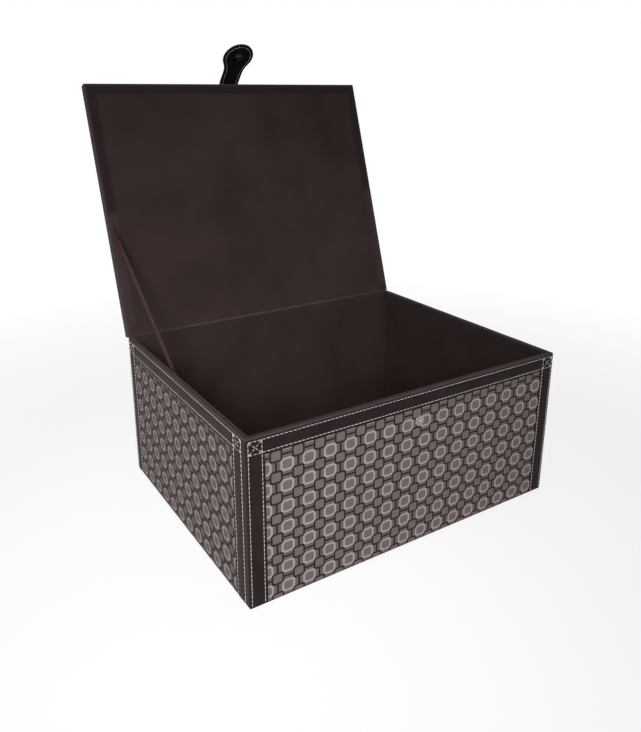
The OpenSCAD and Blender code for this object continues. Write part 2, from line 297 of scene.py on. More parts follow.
def smaller(a, b):
    return sums("MINIMUM", a, b)


def shade(red, green, blue):
    """A colour as a screen shows it, from 0 to 255, as the linear numbers that light adds up."""
    screen = np.array([red, green, blue]) / 255
    linear = np.where(screen <= 0.04045, screen / 12.92, ((screen + 0.055) / 1.055) ** 2.4)
    return (*linear.tolist(), 1.0)


def times(share, colour):
    """A share of a colour's light."""
    return (*(share * part for part in colour[:3]), 1.0)


class Finish:
    """A material being made. Node adds any node and returns one of its outputs as a wire."""

    def __init__(self, name):
        self.material = bpy.data.materials.new(name)
        self.material.use_nodes = True
        self.tree = self.material.node_tree
        self.tree.nodes.clear()

    def node(self, kind, settings=None, inputs=None, output=0):
        made = self.tree.nodes.new(kind)
        for key, value in (settings or {}).items():
            setattr(made, key, value)
        for key, value in (inputs or {}).items():
            if isinstance(value, Wire):
                self.tree.links.new(value.socket, made.inputs[key])
            else:
                made.inputs[key].default_value = value
        return Wire(self, made.outputs[output])

    def place(self):
        """Object coordinates, in metres."""
        return self.node("ShaderNodeTexCoord", output="Object")

    def axis(self, place, direction):
        """The distance of a point along a direction: their dot product."""
        return self.node("ShaderNodeVectorMath", {"operation": "DOT_PRODUCT"},
                         {0: place, 1: direction}, output="Value")

    def stretched(self, place, scale):
        """The place, with each coordinate times its own scale."""
        return self.node("ShaderNodeVectorMath", {"operation": "MULTIPLY"}, {0: place, 1: scale})

    def noise(self, place, scale, detail=2.0, rough=0.5):
        return self.node("ShaderNodeTexNoise", {},
                         {"Vector": place, "Scale": scale, "Detail": detail, "Roughness": rough})

    def cells(self, place, scale, feature="F1"):
        return self.node("ShaderNodeTexVoronoi", {"feature": feature},
                         {"Vector": place, "Scale": scale}, output="Distance")

    def mix(self, factor, first, second):
        """A colour between two: first where the factor is 0, second where it is 1."""
        return self.node("ShaderNodeMix", {"data_type": "RGBA"}, {0: factor, 6: first, 7: second},
                         output=2)

    def attribute(self, name):
        """The numbers that a mesh keeps per point under a name, and 0 where it has none."""
        return self.node("ShaderNodeAttribute", {"attribute_name": name}, output="Fac")

    def bump(self, height, depth, strength=1.0):
        """A normal from a height between 0 and 1, where 1 stands depth metres proud."""
        return self.node("ShaderNodeBump", {},
                         {"Height": height, "Distance": depth, "Strength": strength}, output="Normal")

    def done(self, **sockets):
        """Ends the finish with a Principled shader. Underscores in a name stand for spaces."""
        inputs = {key.replace("_", " "): value for key, value in sockets.items()}
        shader = self.node("ShaderNodeBsdfPrincipled", {}, inputs)
        self.node_output(shader)
        return self.material

    def node_output(self, shader):
        end = self.tree.nodes.new("ShaderNodeOutputMaterial")
        self.tree.links.new(shader.socket, end.inputs["Surface"])


# %% [markdown]
# ## Leather
#
# The strips are thin, dark brown, finished leather with a fine pebbled grain and a soft gloss.
# A flat brown would look like plastic. Real hide is uneven at three scales: broad clouds from
# the dye, pebbles of under a millimetre, and pores. The pebbles go into the bump and a little
# into the colour, because dye gathers in the valleys. A thin sheen stands for the fine nap,
# which a grazing view lights up. Where a strip folds over an edge, the colour is paler: partly
# rubbed wear, partly a painted highlight along the fold. How much comes from an attribute on
# the mesh. The tab is darker and smoother.

# %% Leather
GRAIN_CELL = 0.75 * mm


def leather(name, dark, light, rough, shine, sheen):
    """Dark and light mixed by clouds, darker in the valleys between the pebbles, and paler by the
    wear and a painted fold highlight. The bump is minus the pebbles' distance, plus a slow wander and the
    pores."""
    finish = Finish(name)
    place = finish.place()
    clouds = finish.noise(place, 28.0, 3.0)
    wander = finish.noise(place, 900.0, 1.0)
    pebbles = finish.cells(place, 1 / GRAIN_CELL, "SMOOTH_F1")
    pores = finish.noise(place, 5200.0, 2.0, 0.6)
    worn = finish.attribute("worn")
    hide = finish.mix(clouds * 1.6 - 0.3, dark, light)
    valley = (pebbles * 1.3 - 0.35).maths("MULTIPLY", 0.35, clamp=True)
    dyed = finish.mix(valley, hide, times(0.55, dark))
    # Paler on the rubbed and folded parts: real wear, and along the folds a painted highlight.
    rubbed_and_highlit = finish.mix(worn * 0.8, dyed, times(3.4, light))
    height = pebbles * -0.55 + wander * 0.25 + pores * 0.22
    return finish.done(
        Base_Color=rubbed_and_highlit,
        Roughness=rough + clouds * 0.10 + pebbles * 0.12 - worn * 0.06,
        Specular_IOR_Level=shine,
        Sheen_Weight=sheen,
        Sheen_Roughness=0.5,
        Sheen_Tint=(1.0, 0.82, 0.81, 1.0),
        Normal=finish.bump(height, 0.12 * mm, 0.7))


strip_leather = leather("leather_strip", shade(32, 25, 25), shade(44, 36, 36), 0.55, 0.004, 0.13)
tab_leather = leather("leather_tab", shade(21, 18, 18), shade(30, 26, 26), 0.40, 0.03, 0.0)
print("leather finishes:", strip_leather.name, tab_leather.name)

# %% [markdown]
# ## The woven cloth
#
# The covers are a jacquard: the lattice isn't printed, it is made by which threads lie on top.
# An image would do, but it would blur close by. The lattice is simple enough to be a formula.
# Folding the plane back and forth over half a repeat brings every square onto one square, so a
# single rounded square, bar and octagon ring fill the whole cloth. The place is first rounded
# to whole threads, which gives the drawing the small steps that weaving gives it.

# %% The woven cloth
REPEAT = (23.64, 21.86)          # millimetres across and up, as are the sizes below
SQUARE_HALF = (6.8, 6.55)
SQUARE_CORNER = 3.6
OUTLINE = 1.85
BAR = 2.0
RING_HALF = (7.15, 6.7)
RING_CUT = 11.0                  # across plus up, where the octagon's corner is cut
RING = 2.05
THREAD = 0.42                    # from one thread to the next
SOFT = 0.50                      # how far a colour fades at its edge

CLOTH_GROUND = shade(101, 91, 89)
CLOTH_FILL = shade(108, 98, 96)
CLOTH_RING = shade(160, 150, 147)
CLOTH_LINE = shade(38, 29, 28)


def inside(distance, soft=SOFT):
    """1 where a distance is below zero and 0 where it is above, fading over the soft edge."""
    return sums("MULTIPLY_ADD", distance, -1 / soft, 0.5, clamp=True)


def woven_lattice(name, across, up, first_square):
    """Cloth whose lattice runs along two directions, with a square at first_square (in mm).

    Square: the rounded-box distance. Bars: the fold distance where no square is. Octagon: the
    largest of the two side distances and the cut corner's."""
    finish = Finish(name)
    place = finish.place()
    u = finish.axis(place, across) * 1000.0 - first_square[0]
    v = finish.axis(place, up) * 1000.0 - first_square[1]
    row = (u / THREAD).maths("FLOOR")
    pick = (v / THREAD).maths("FLOOR")
    fold_u = (row * THREAD).maths("PINGPONG", REPEAT[0] / 2)
    fold_v = (pick * THREAD).maths("PINGPONG", REPEAT[1] / 2)

    past_u = fold_u - (SQUARE_HALF[0] - SQUARE_CORNER)
    past_v = fold_v - (SQUARE_HALF[1] - SQUARE_CORNER)
    out_u, out_v = larger(past_u, 0.0), larger(past_v, 0.0)
    corner = (out_u * out_u + out_v * out_v).maths("SQRT")
    square = corner + smaller(larger(past_u, past_v), 0.0) - SQUARE_CORNER
    in_square = inside(square)
    in_fill = inside(square + OUTLINE)
    bar = inside(smaller(fold_u, fold_v) - BAR / 2)
    line = larger(in_square - in_fill, bar * (1.0 - in_square))

    eight_u = REPEAT[0] / 2 - fold_u
    eight_v = REPEAT[1] / 2 - fold_v
    sides = larger(eight_u - RING_HALF[0], eight_v - RING_HALF[1])
    octagon = larger(sides, (eight_u + eight_v - RING_CUT) * 0.7071)
    ring = inside(octagon) - inside(octagon + RING)
    in_eight = inside(octagon + RING)

    twill = inside((row + pick).maths("PINGPONG", 2.0) - 1.0, 0.6)
    warp = (u / THREAD * math.pi).maths("SINE").maths("ABSOLUTE")
    weft = (v / THREAD * math.pi).maths("SINE").maths("ABSOLUTE")
    thread = twill * warp + (1.0 - twill) * weft
    clouds = finish.noise(place, 60.0, 3.0)
    fluff = finish.noise(place, 3200.0, 2.0)

    colour = finish.mix(larger(in_fill, in_eight), CLOTH_GROUND, CLOTH_FILL)
    colour = finish.mix(ring, colour, CLOTH_RING)
    colour = finish.mix(line, colour, CLOTH_LINE)
    # The thread term is painted shade: each thread is lighter on its crown and darker where it dips
    # beside its neighbour. The clouds and fluff are the yarn's own uneven tone.
    light = 0.64 + thread * 0.30 + twill * 0.10 + clouds * 0.12 + fluff * 0.20
    grey = finish.node("ShaderNodeCombineColor", {}, {0: light, 1: light, 2: light})
    colour = finish.node("ShaderNodeMix", {"data_type": "RGBA", "blend_type": "MULTIPLY"},
                         {0: 1.0, 6: colour, 7: grey}, output=2)
    height = thread * 0.7 + ring * 0.25 - line * 0.25 + fluff * 0.15
    return finish.done(Base_Color=colour, Roughness=0.86 - ring * 0.12,
                       Specular_IOR_Level=0.08, Normal=finish.bump(height, 0.16 * mm, 0.6))


RIGHT, BACK, UP = (1.0, 0.0, 0.0), (0.0, 1.0, 0.0), (0.0, 0.0, 1.0)
ALONG_LID = tuple(opened(np.array([0.0, -1.0, 0.0])) - opened(np.zeros(3)))
lid_middle = opened(np.array([0.0, 0.0, closed_h]))
FIRST_FRONT = (-169.5, 153.2)
FIRST_SIDE = (-119.75, 153.5)
FIRST_LID = (0.0, 1000 * float(np.dot(lid_middle, ALONG_LID)))
cloth_front = woven_lattice("cloth_front", RIGHT, UP, FIRST_FRONT)
cloth_side = woven_lattice("cloth_side", BACK, UP, FIRST_SIDE)
cloth_lid = woven_lattice("cloth_lid", RIGHT, ALONG_LID, FIRST_LID)
print("cloth repeats every", REPEAT, "mm")

# %% [markdown]
# ## The quieter finishes
#
# The lining is a paper-backed suede: no gloss, a nap that leans this way and that in broad
# clouds, and fibres too fine to see one by one. The rest are the brown satin of the ribbon,
# the sewing thread, the snap's two metals, which are dull nickel and dark gunmetal, the black
# felt paper under the base, and the bare fibreboard of the carcass. The fibreboard only shows
# if someone takes a cover off.

# %% The quieter finishes
def suede(name, dark, light):
    """Dark and light mixed by a broad nap and fine flecks, and paler by the wear and a painted highlight.
    """
    finish = Finish(name)
    place = finish.place()
    nap = finish.noise(place, 14.0, 4.0, 0.55)
    flecks = finish.noise(place, 700.0, 3.0, 0.7)
    fibres = finish.noise(place, 4000.0, 2.0, 0.7)
    worn = finish.attribute("worn")
    colour = finish.mix(nap * 1.5 - 0.25 + (flecks - 0.5) * 0.5, dark, light)
    # Paler where the cloth folds: rubbed wear, and a painted highlight.
    colour = finish.mix(worn, colour, shade(118, 104, 102))
    return finish.done(Base_Color=colour, Roughness=0.93 - worn * 0.35, Specular_IOR_Level=0.02,
                       Sheen_Weight=0.02, Sheen_Roughness=0.4,
                       Normal=finish.bump(fibres * 0.6 + flecks * 0.5, 0.18 * mm, 0.6))


def satin(name, dark, light):
    """Dark and light mixed by long floating threads: noise squeezed along the ribbon."""
    finish = Finish(name)
    place = finish.place()
    floats = finish.noise(finish.stretched(place, (1.0, 5.0, 7.0)), 600.0, 2.0)
    clouds = finish.noise(place, 60.0, 2.0)
    colour = finish.mix(floats * 0.7 + clouds * 0.6 - 0.2, dark, light)
    return finish.done(Base_Color=colour, Roughness=0.45 + floats * 0.14, Anisotropic=0.5,
                       Specular_IOR_Level=0.06, Normal=finish.bump(floats, 0.05 * mm, 0.5))


def cotton_thread(name, colour):
    """Thread whose plies wind round it: the twist attribute is a distance in millimetres."""
    finish = Finish(name)
    place = finish.place()
    fibres = finish.noise(place, 3500.0, 3.0, 0.7)
    clouds = finish.noise(place, 90.0, 2.0)
    plies = (finish.attribute("twist") * 8.5).maths("SINE")
    tinted = finish.mix(fibres * 0.9 + clouds * 0.3 - 0.25, times(0.62, colour), colour)
    return finish.done(Base_Color=tinted, Roughness=0.72 + fibres * 0.15, Specular_IOR_Level=0.35,
                       Normal=finish.bump(plies * 0.4 + fibres * 0.5, 0.10 * mm, 0.7))


def plated(name, dull, bright):
    """Metal, dull and bright mixed by a tarnish, with fine scratches in the gloss and the bump."""
    finish = Finish(name)
    place = finish.place()
    tarnish = finish.noise(place, 260.0, 3.0)
    scratches = finish.noise(finish.stretched(place, (1.0, 1.0, 9.0)), 1500.0, 2.0)
    colour = finish.mix(tarnish, dull, bright)
    return finish.done(Base_Color=colour, Metallic=1.0,
                       Roughness=0.16 + tarnish * 0.16 + scratches * 0.08,
                       Normal=finish.bump(scratches, 0.02 * mm, 0.4))


def pressed_fibre(name, dark, light, fibre, rough):
    """Dark and light mixed by matted strands, fibre of them to a metre, and by flecks."""
    finish = Finish(name)
    place = finish.place()
    strands = finish.noise(finish.stretched(place, (1.0, 1.6, 1.3)), fibre, 4.0, 0.7)
    flecks = finish.cells(place, fibre * 0.8)
    colour = finish.mix(strands * 1.4 - 0.3 + flecks * 0.3, dark, light)
    return finish.done(Base_Color=colour, Roughness=rough + strands * 0.08,
                       Specular_IOR_Level=0.2, Normal=finish.bump(strands, 0.15 * mm, 0.6))


lining = suede("suede_lining", shade(48, 38, 37), shade(64, 52, 51))
ribbon_satin = satin("ribbon_satin", shade(46, 29, 20), shade(80, 53, 38))
white_thread = cotton_thread("white_thread", shade(226, 219, 214))
metal = plated("snap_nickel", shade(122, 114, 107), shade(184, 176, 168))
gunmetal = plated("snap_gunmetal", shade(34, 32, 31), shade(84, 80, 77))
felt_paper = pressed_fibre("felt_paper", shade(20, 17, 17), shade(31, 27, 27), 900.0, 0.88)
fibreboard = pressed_fibre("fibreboard", shade(146, 117, 76), shade(188, 160, 112), 1400.0, 0.80)

kept_nodes = {
    cloth_front: ("front_panel", "back_panel"),
    cloth_side: ("left_panel", "right_panel"),
    cloth_lid: ("lid_panel",),
    lining: ("front_lining", "back_lining", "left_lining", "right_lining", "floor_lining"),
    felt_paper: ("underside_sheet",),
    metal: ("stud_rivet",),
    fibreboard: ("base_board", "front_board", "back_board", "left_board", "right_board", "lid_board"),
}
for material, names in kept_nodes.items():
    for name in names:
        for slot in frame["nodes"][name].material_slots:
            slot.link = "OBJECT"
            slot.material = material
print(sum(len(names) for names in kept_nodes.values()), "nodes keep their shape")

# %% [markdown]
# ## Lines with soft folds
#
# A strip of leather is one line, seen from its end, carried along the box: up the wall, over the
# rim and down inside. The line turns at corners, and leather turns softly, so each corner
# becomes a short curve. Where thread crosses, the points lie close together, because there the
# surface dips.

# %% Lines with soft folds
FOLD_POINTS = 6                  # of each rounded corner of a line


def rounded_line(corners, reaches, legs, steps=FOLD_POINTS):
    """A line through corners, sampled on each leg at that leg's fractions. A corner C with the
    reach T becomes (1-t)^2 (C - T a) + 2 t (1-t) C + t^2 (C + T b), for the directions a in and
    b out."""
    corners = np.asarray(corners, float)
    ways = np.diff(corners, axis=0)
    ways = ways / np.linalg.norm(ways, axis=1, keepdims=True)
    bends = np.linspace(0, 1, steps + 2)[1:-1, None]
    parts = []
    for k, fractions in enumerate(legs):
        start = corners[k] + (ways[k] * reaches[k - 1] if k else 0)
        end = corners[k + 1] - (ways[k] * reaches[k] if k + 1 < len(legs) else 0)
        parts.append(start + np.asarray(fractions)[:, None] * (end - start))
        if k + 1 < len(legs):
            before, corner = end, corners[k + 1]
            after = corner + ways[k + 1] * reaches[k]
            curve = (1 - bends) ** 2 * before + 2 * bends * (1 - bends) * corner + bends ** 2 * after
            parts.append(curve)
    return np.concatenate(parts)


def line_normals(line):
    """Unit normals on the left of a line: its direction (a, b) turned to (-b, a)."""
    way = np.gradient(line, axis=0)
    way = way / np.linalg.norm(way, axis=1, keepdims=True)
    return np.stack([-way[:, 1], way[:, 0]], 1)


def spread(length, rows=(), coarse=6 * mm, fine=0.4 * mm, reach=1.6 * mm):
    """Fractions of a length, coarse apart, but fine across each row of stitches."""
    wide = np.linspace(0, length, max(2, round(length / coarse) + 1))
    close = [np.arange(row - reach, row + reach + fine / 2, fine) for row in rows]
    for zone in close:
        middle = wide[1:-1]
        clear = (middle < zone[0] - fine / 2) | (middle > zone[-1] + fine / 2)
        wide = np.concatenate([[0], middle[clear], [length]])
    places = np.unique(np.round(np.concatenate([wide, *close]), 7))
    places = places[(places >= 0) & (places < length - 0.1 * mm)]
    return np.append(places, length) / length


GROOVE = 0.34 * mm
GROOVE_HALF = 0.75 * mm
SWELL = 0.30 * mm
WAVE = 0.035 * mm


def sewn(distance, rows):
    """Height across a strip sewn at two rows: minus a bell at each row, and a low arch between."""
    first, last = rows
    dips = sum(np.exp(-((distance - row) / GROOVE_HALF) ** 2) for row in rows)
    between = np.clip((distance - first) / (last - first), 0, 1)
    return SWELL * np.sin(math.pi * between) ** 0.8 - GROOVE * dips


def uneven(x, y, z):
    """The slight waves of hand-laid leather: three slow sine waves that cross."""
    waves = np.sin(x * 150 + z * 61) + np.sin(y * 171 - x * 47) + np.sin(z * 240 + y * 83 + x * 95)
    return WAVE * waves


print("groove", GROOVE / mm, "mm deep")

# %% [markdown]
# ## The rim bands
#
# Each face has a band of leather below its rim. It comes up the wall, folds over the rim and is
# glued down inside. The band is a profile of depth and height, carried in a straight line
# between the two corner pieces. Two rows of stitches press it in along its edges, and the
# leather swells a little between them. Leather overlaps the cloth by LAP, as it does on a real
# box, so nothing shows between the two.

# %% The rim bands
EDGE_ROUND = 0.35 * mm
TINY = 0.01 * mm
RIM_REACH = 1.3 * mm             # from the rim's outer edge to where its fold ends
INNER_REACH = 1.2 * mm           # the same inside
TOP_ROW, LOWER_ROW = 3.75 * mm, 16.5 * mm        # below the rim
LAP = 0.45 * mm                  # of the leather over the cloth
THIN_WEAR = 0.14                 # where the leather is turned in and pared thin


def band_line(drop):
    """Outer and inner line of a rim band that hangs drop below the rim outside."""
    lapped = drop + LAP
    face = 1 - spread(lapped - RIM_REACH, (TOP_ROW - RIM_REACH, LOWER_ROW - RIM_REACH))[::-1]
    few = np.linspace(0, 1, 4)
    legs = (face, few, few)
    outer = rounded_line([(0, body_h - lapped), (0, body_h), (wall_t, body_h),
                          (wall_t, body_h - turn_in)], (RIM_REACH, INNER_REACH), legs)
    inner_depth = wall_t - lining_t
    inner_top = body_h - leather_t
    inner = rounded_line([(leather_t, body_h - drop), (leather_t, inner_top),
                          (inner_depth, inner_top), (inner_depth, body_h - turn_in)],
                         (0.5 * mm, 0.3 * mm), legs)
    return outer, inner


def fold_wear_and_highlight(line, folds, thin, reach=1.1 * mm):
    """1 on a fold, fading to 0 away from it as a bell, and THIN_WEAR at least where thin is true. On a
    fold the paleness is wear and a painted highlight; where thin, only wear.
    """
    away = np.min([np.linalg.norm(line - fold, axis=1) for fold in folds], axis=0)
    return np.maximum(np.exp(-(away / reach) ** 2), THIN_WEAR * thin)


def rim_wear_and_highlight(outer):
    """The wear and painted highlight along a line that goes over the rim: wear with a painted highlight
    at its two folds, and wear alone where it is turned in.
    """
    folds = [(0.3 * mm, body_h - 0.3 * mm), (wall_t, body_h)]
    return fold_wear_and_highlight(outer, folds, outer[:, 0] > wall_t - TINY)


def straight_band(along):
    """A rim band on the front: grid points (x, y, z) of both faces for x in along."""
    outer, inner = band_line(band_h)
    normal = line_normals(outer)
    below = body_h - outer[:, 1]
    on_face = outer[:, 0] < 0.5 * mm
    relief = np.where(on_face, sewn(below, (TOP_ROW, LOWER_ROW)), 0.0)
    x = along[:, None] + 0 * below[None, :]
    waves = uneven(x, 0 * x, outer[None, :, 1] + 0 * x)
    depth = outer[None, :, 0] + normal[None, :, 0] * (relief[None, :] + waves)
    height = outer[None, :, 1] + normal[None, :, 1] * (relief[None, :] + waves)
    face = np.stack([x, -half_d + depth, height], -1)
    back = np.stack([x, -half_d + inner[None, :, 0] + 0 * x, inner[None, :, 1] + 0 * x], -1)
    return face, back, np.broadcast_to(rim_wear_and_highlight(outer), x.shape)


def on_side(points, side):
    """Points drawn for the front wall, moved to another wall: front, back, left or right. The
    side walls are reached by swapping x and y and moving out to their own face."""
    x, y, z = points[..., 0], points[..., 1], points[..., 2]
    if side == "front":
        return points
    if side == "back":
        return np.stack([x, -y, z], -1)
    away = -(y + half_d) + half_w
    return np.stack([-away if side == "left" else away, x, z], -1)


def closed_values(wear_and_highlight):
    """The wear and painted highlight of a skin's points: the outer face's own, and none on the inner
    face.
    """
    return {"worn": np.concatenate([wear_and_highlight, 0 * wear_and_highlight], axis=1)}


butt = 0.06 * mm
wall_spans = {
    "front": (-half_w + corner_w + butt, half_w - corner_w - butt),
    "back": (-half_w + corner_w + butt, half_w - corner_w - butt),
    "left": (-half_d + corner_side_w + butt, half_d - corner_back_w - butt),
    "right": (-half_d + corner_side_w + butt, half_d - corner_back_w - butt),
}
for side, (start, end) in wall_spans.items():
    face, back, wear_and_highlight = straight_band(np.linspace(start, end, 61))
    points, faces = skin(on_side(face, side), on_side(back, side))
    band = put(f"rim_band_{side}", points, faces, strip_leather, closed_values(wear_and_highlight))
    soften(band, EDGE_ROUND)
    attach(band, "box")
    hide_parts(f"{side}_band")
print("four rim bands,", len(band.data.polygons), "faces on the last")

# %% [markdown]
# ## Leather round the corners
#
# A corner piece is one strip folded round the upright edge. It starts under the base, comes up
# both faces, folds over the rim and ends inside. Seen from above it is an L, and the L gets
# tighter as the leather goes inwards, so each point of the profile has its own L: the arms start
# at the same seams, and the bend moves in by the depth. Where the two rows of each arm cross,
# a box is sewn with a cross in it.

# %% Leather round the corners
BEND = 1.7 * mm                  # radius of the upright fold
TIGHT = 0.25 * mm                # radius left where the depth is more than the bend
FRONT_ROWS = (2.9 * mm, 16.8 * mm)
SIDE_ROWS = (9.3 * mm, 24.3 * mm)
BACK_SIDE_ROWS = (3.4 * mm, 17.0 * mm)
RIM_ROWS = (TOP_ROW, LOWER_ROW)
BASE_REACH = 1.2 * mm
BOX_FINE = 0.55 * mm             # between points where a box is sewn
CORNER_POINTS = 5                # of each upright bend, between its arms
# Paler along the upright fold: wear, and a painted highlight.
BEND_WEAR_AND_HIGHLIGHT = 0.15


def crossed(across, down, columns, rows):
    """Height over a sewn box: the two columns below the top row, the two rows inside the outer
    column, and the cross between them, each a dip; the rest swells between the columns."""
    top, bottom = rows
    first, last = columns
    fade_down = 1 / (1 + np.exp(-(down - top) / (0.4 * mm)))
    fade_in = 1 / (1 + np.exp(-(across - first) / (0.4 * mm)))
    height = sewn(across, columns) * fade_down
    dips = sum(np.exp(-((down - row) / GROOVE_HALF) ** 2) for row in rows) * fade_in
    s = (across - first) / (last - first)
    t = (down - top) / (bottom - top)
    size = math.hypot(last - first, bottom - top)
    slope = (last - first) * (bottom - top) / size
    in_box = (s > 0) & (s < 1) & (t > 0) & (t < 1)
    cross = sum(np.exp(-(gap * slope / GROOVE_HALF) ** 2) for gap in (s - t, s + t - 1))
    return np.maximum(height - GROOVE * dips - GROOVE * cross * in_box, -1.3 * GROOVE)


def corner_line():
    """Outer and inner line of a corner piece, from its hem under the base to the turned-in end."""
    whole = body_h - sheet_t - BASE_REACH - RIM_REACH
    below = spread(whole)
    near_top = 1 - np.arange(0, LOWER_ROW + 3 * mm - RIM_REACH, BOX_FINE)[::-1] / whole
    face = np.concatenate([below[below < near_top[0] - 2 * mm / whole], near_top])
    few = np.linspace(0, 1, 4)
    legs = (few, face, few, few)
    reaches = (BASE_REACH, RIM_REACH, INNER_REACH)
    outer = rounded_line([(hem_w, sheet_t), (0, sheet_t), (0, body_h), (wall_t, body_h),
                          (wall_t, body_h - turn_in)], reaches, legs)
    inner_depth = wall_t - lining_t
    inner_top = body_h - leather_t
    inner = rounded_line([(hem_w, hem_top), (leather_t, hem_top), (leather_t, inner_top),
                          (inner_depth, inner_top), (inner_depth, body_h - turn_in)],
                         (0.3 * mm, 0.5 * mm, 0.3 * mm), legs)
    return outer, inner


def arm_fractions(reach, rows, bend):
    """Fractions of an arm, fine from the bend to past the outer row."""
    fine = np.arange(0, rows[1] + 1.2 * mm - bend, BOX_FINE)
    end = reach - bend
    return np.append(fine[fine < end - 0.3 * mm], end) / end


def bent_plan(deep, shallow, reach, arms, bend=BEND):
    """Plan of an L round the corner at the origin, with x and y growing inwards.

    Rows go along the L. Its second arm lies deep in x, and its first arm shallow in y. The bend
    has the radius r = max(bend - depth, tight), and an arm's point with the fraction f is at
    depth + r + f (reach - depth - r)."""
    first, second = arms
    n, m = len(first), CORNER_POINTS
    radius = np.maximum(bend - np.maximum(deep, shallow), TIGHT)
    angle = (np.linspace(0, math.pi / 2, m + 2)[1:-1])[:, None]
    x, y = deep + radius, shallow + radius
    x = np.concatenate([x[:n] + first[:, None] * (reach[0] - x[:n]),
                        x[n:n + m] - radius[n:n + m] * np.sin(angle), deep[n + m:]])
    y = np.concatenate([shallow[:n], y[n:n + m] - radius[n:n + m] * np.cos(angle),
                        y[n + m:] + second[:, None] * (reach[1] - y[n + m:])])
    return x, y


def corner_piece(reach, rows_front, rows_side):
    """Both faces of a corner piece at the front left, and the wear and painted highlight of its outer
    face.
    """
    outer, inner = corner_line()
    normal = line_normals(outer)
    first = arm_fractions(reach[0], rows_front, BEND)[::-1]
    second = arm_fractions(reach[1], rows_side, BEND)
    down = body_h - outer[None, :, 1]
    along_front = (BEND + first * (reach[0] - BEND))[:, None]
    along_side = (BEND + second * (reach[1] - BEND))[:, None]
    relief = np.concatenate([crossed(along_front, down, rows_front, RIM_ROWS),
                             np.zeros((CORNER_POINTS, len(outer))),
                             crossed(along_side, down, rows_side, RIM_ROWS)])
    on_face = (outer[:, 0] < 0.5 * mm) & (outer[:, 1] > sheet_t + 0.5 * mm)
    relief = np.where(on_face[None, :], relief, 0.0)
    depth = outer[None, :, 0] + normal[None, :, 0] * relief
    height = outer[None, :, 1] + normal[None, :, 1] * relief
    lap = np.where(down > band_h + LAP, LAP, 0.0)
    x, y = bent_plan(depth, depth, (reach[0] + lap, reach[1] + lap), (first, second))
    face = np.stack([-half_w + x, -half_d + y, height], -1)
    inner_depth = np.repeat(inner[None, :, 0], len(x), axis=0)
    x, y = bent_plan(inner_depth, inner_depth, reach, (first, second))
    back = np.stack([-half_w + x, -half_d + y, 0 * x + inner[None, :, 1]], -1)
    wear_and_highlight = np.broadcast_to(rim_wear_and_highlight(outer), x.shape)
    # The upright bend is paler: wear, and a painted highlight.
    bend_wear_and_highlight = np.concatenate([0 * first, np.full(CORNER_POINTS, BEND_WEAR_AND_HIGHLIGHT), 0 * second])
    return face, back, np.maximum(wear_and_highlight, bend_wear_and_highlight[:, None] * on_face[None, :])


corners = {
    "corner_front_left": (1, 1, corner_side_w, SIDE_ROWS),
    "corner_front_right": (-1, 1, corner_side_w, SIDE_ROWS),
    "corner_back_left": (1, -1, corner_back_w, BACK_SIDE_ROWS),
    "corner_back_right": (-1, -1, corner_back_w, BACK_SIDE_ROWS),
}
for node, (flip_x, flip_y, side_reach, side_rows) in corners.items():
    face, back, wear_and_highlight = corner_piece((corner_w, side_reach), FRONT_ROWS, side_rows)
    flip = np.array([flip_x, flip_y, 1.0])
    points, faces = skin(face * flip, back * flip)
    piece = put(f"leather_{node}", points, faces, strip_leather, closed_values(wear_and_highlight))
    soften(piece, EDGE_ROUND)
    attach(piece, "box")
    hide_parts(node)
print("four corner pieces,", len(piece.data.polygons), "faces on the last")

# %% [markdown]
# ## The lid's border
#
# The lid is a board wrapped the same way: a border on top, round the edge and turned in
# underneath, where the photograph shows it as a plain dark frame round the lining. The side
# borders are folded over both of their corners, so seen from above each is a U. It is the L of
# the last cell twice, once as it is and once mirrored, joined at the middle of the side.

# %% The lid's border
LID_ROWS = (3.4 * mm, 16.4 * mm)
LID_ARM = 27.5 * mm
LID_REACH = 1.1 * mm
BACK_TURN = 1.3 * mm             # all that is turned in at the back, where the hinge is


def lid_line(turn):
    """Outer and inner line of the lid's border: underside, edge, then top, as depth and height."""
    few = np.linspace(0, 1, 5)
    top_leg = lid_band_w - LID_REACH
    sewn_part = np.arange(0, LID_ROWS[1] + 1.4 * mm - LID_REACH, BOX_FINE)
    top = np.unique(np.append(sewn_part, top_leg)) / top_leg
    legs = (few, few, top)
    outer = rounded_line([(turn, lid_z), (0, lid_z), (0, closed_h), (lid_band_w, closed_h)],
                         (min(LID_REACH, 0.8 * turn), LID_REACH), legs)
    inner = rounded_line([(turn, lid_z + lining_t), (leather_t, lid_z + lining_t),
                          (leather_t, closed_h - leather_t), (lid_band_w, closed_h - leather_t)],
                         (0.1 * mm, 0.4 * mm), legs)
    return outer, inner


def lid_wear_and_highlight(line):
    """The wear and painted highlight along a line round the lid's edge: both at its two folds, and wear
    underneath.
    """
    folds = [(0.3 * mm, lid_z + 0.3 * mm), (0.3 * mm, closed_h - 0.3 * mm)]
    return fold_wear_and_highlight(line, folds, line[:, 1] < lid_z + TINY)


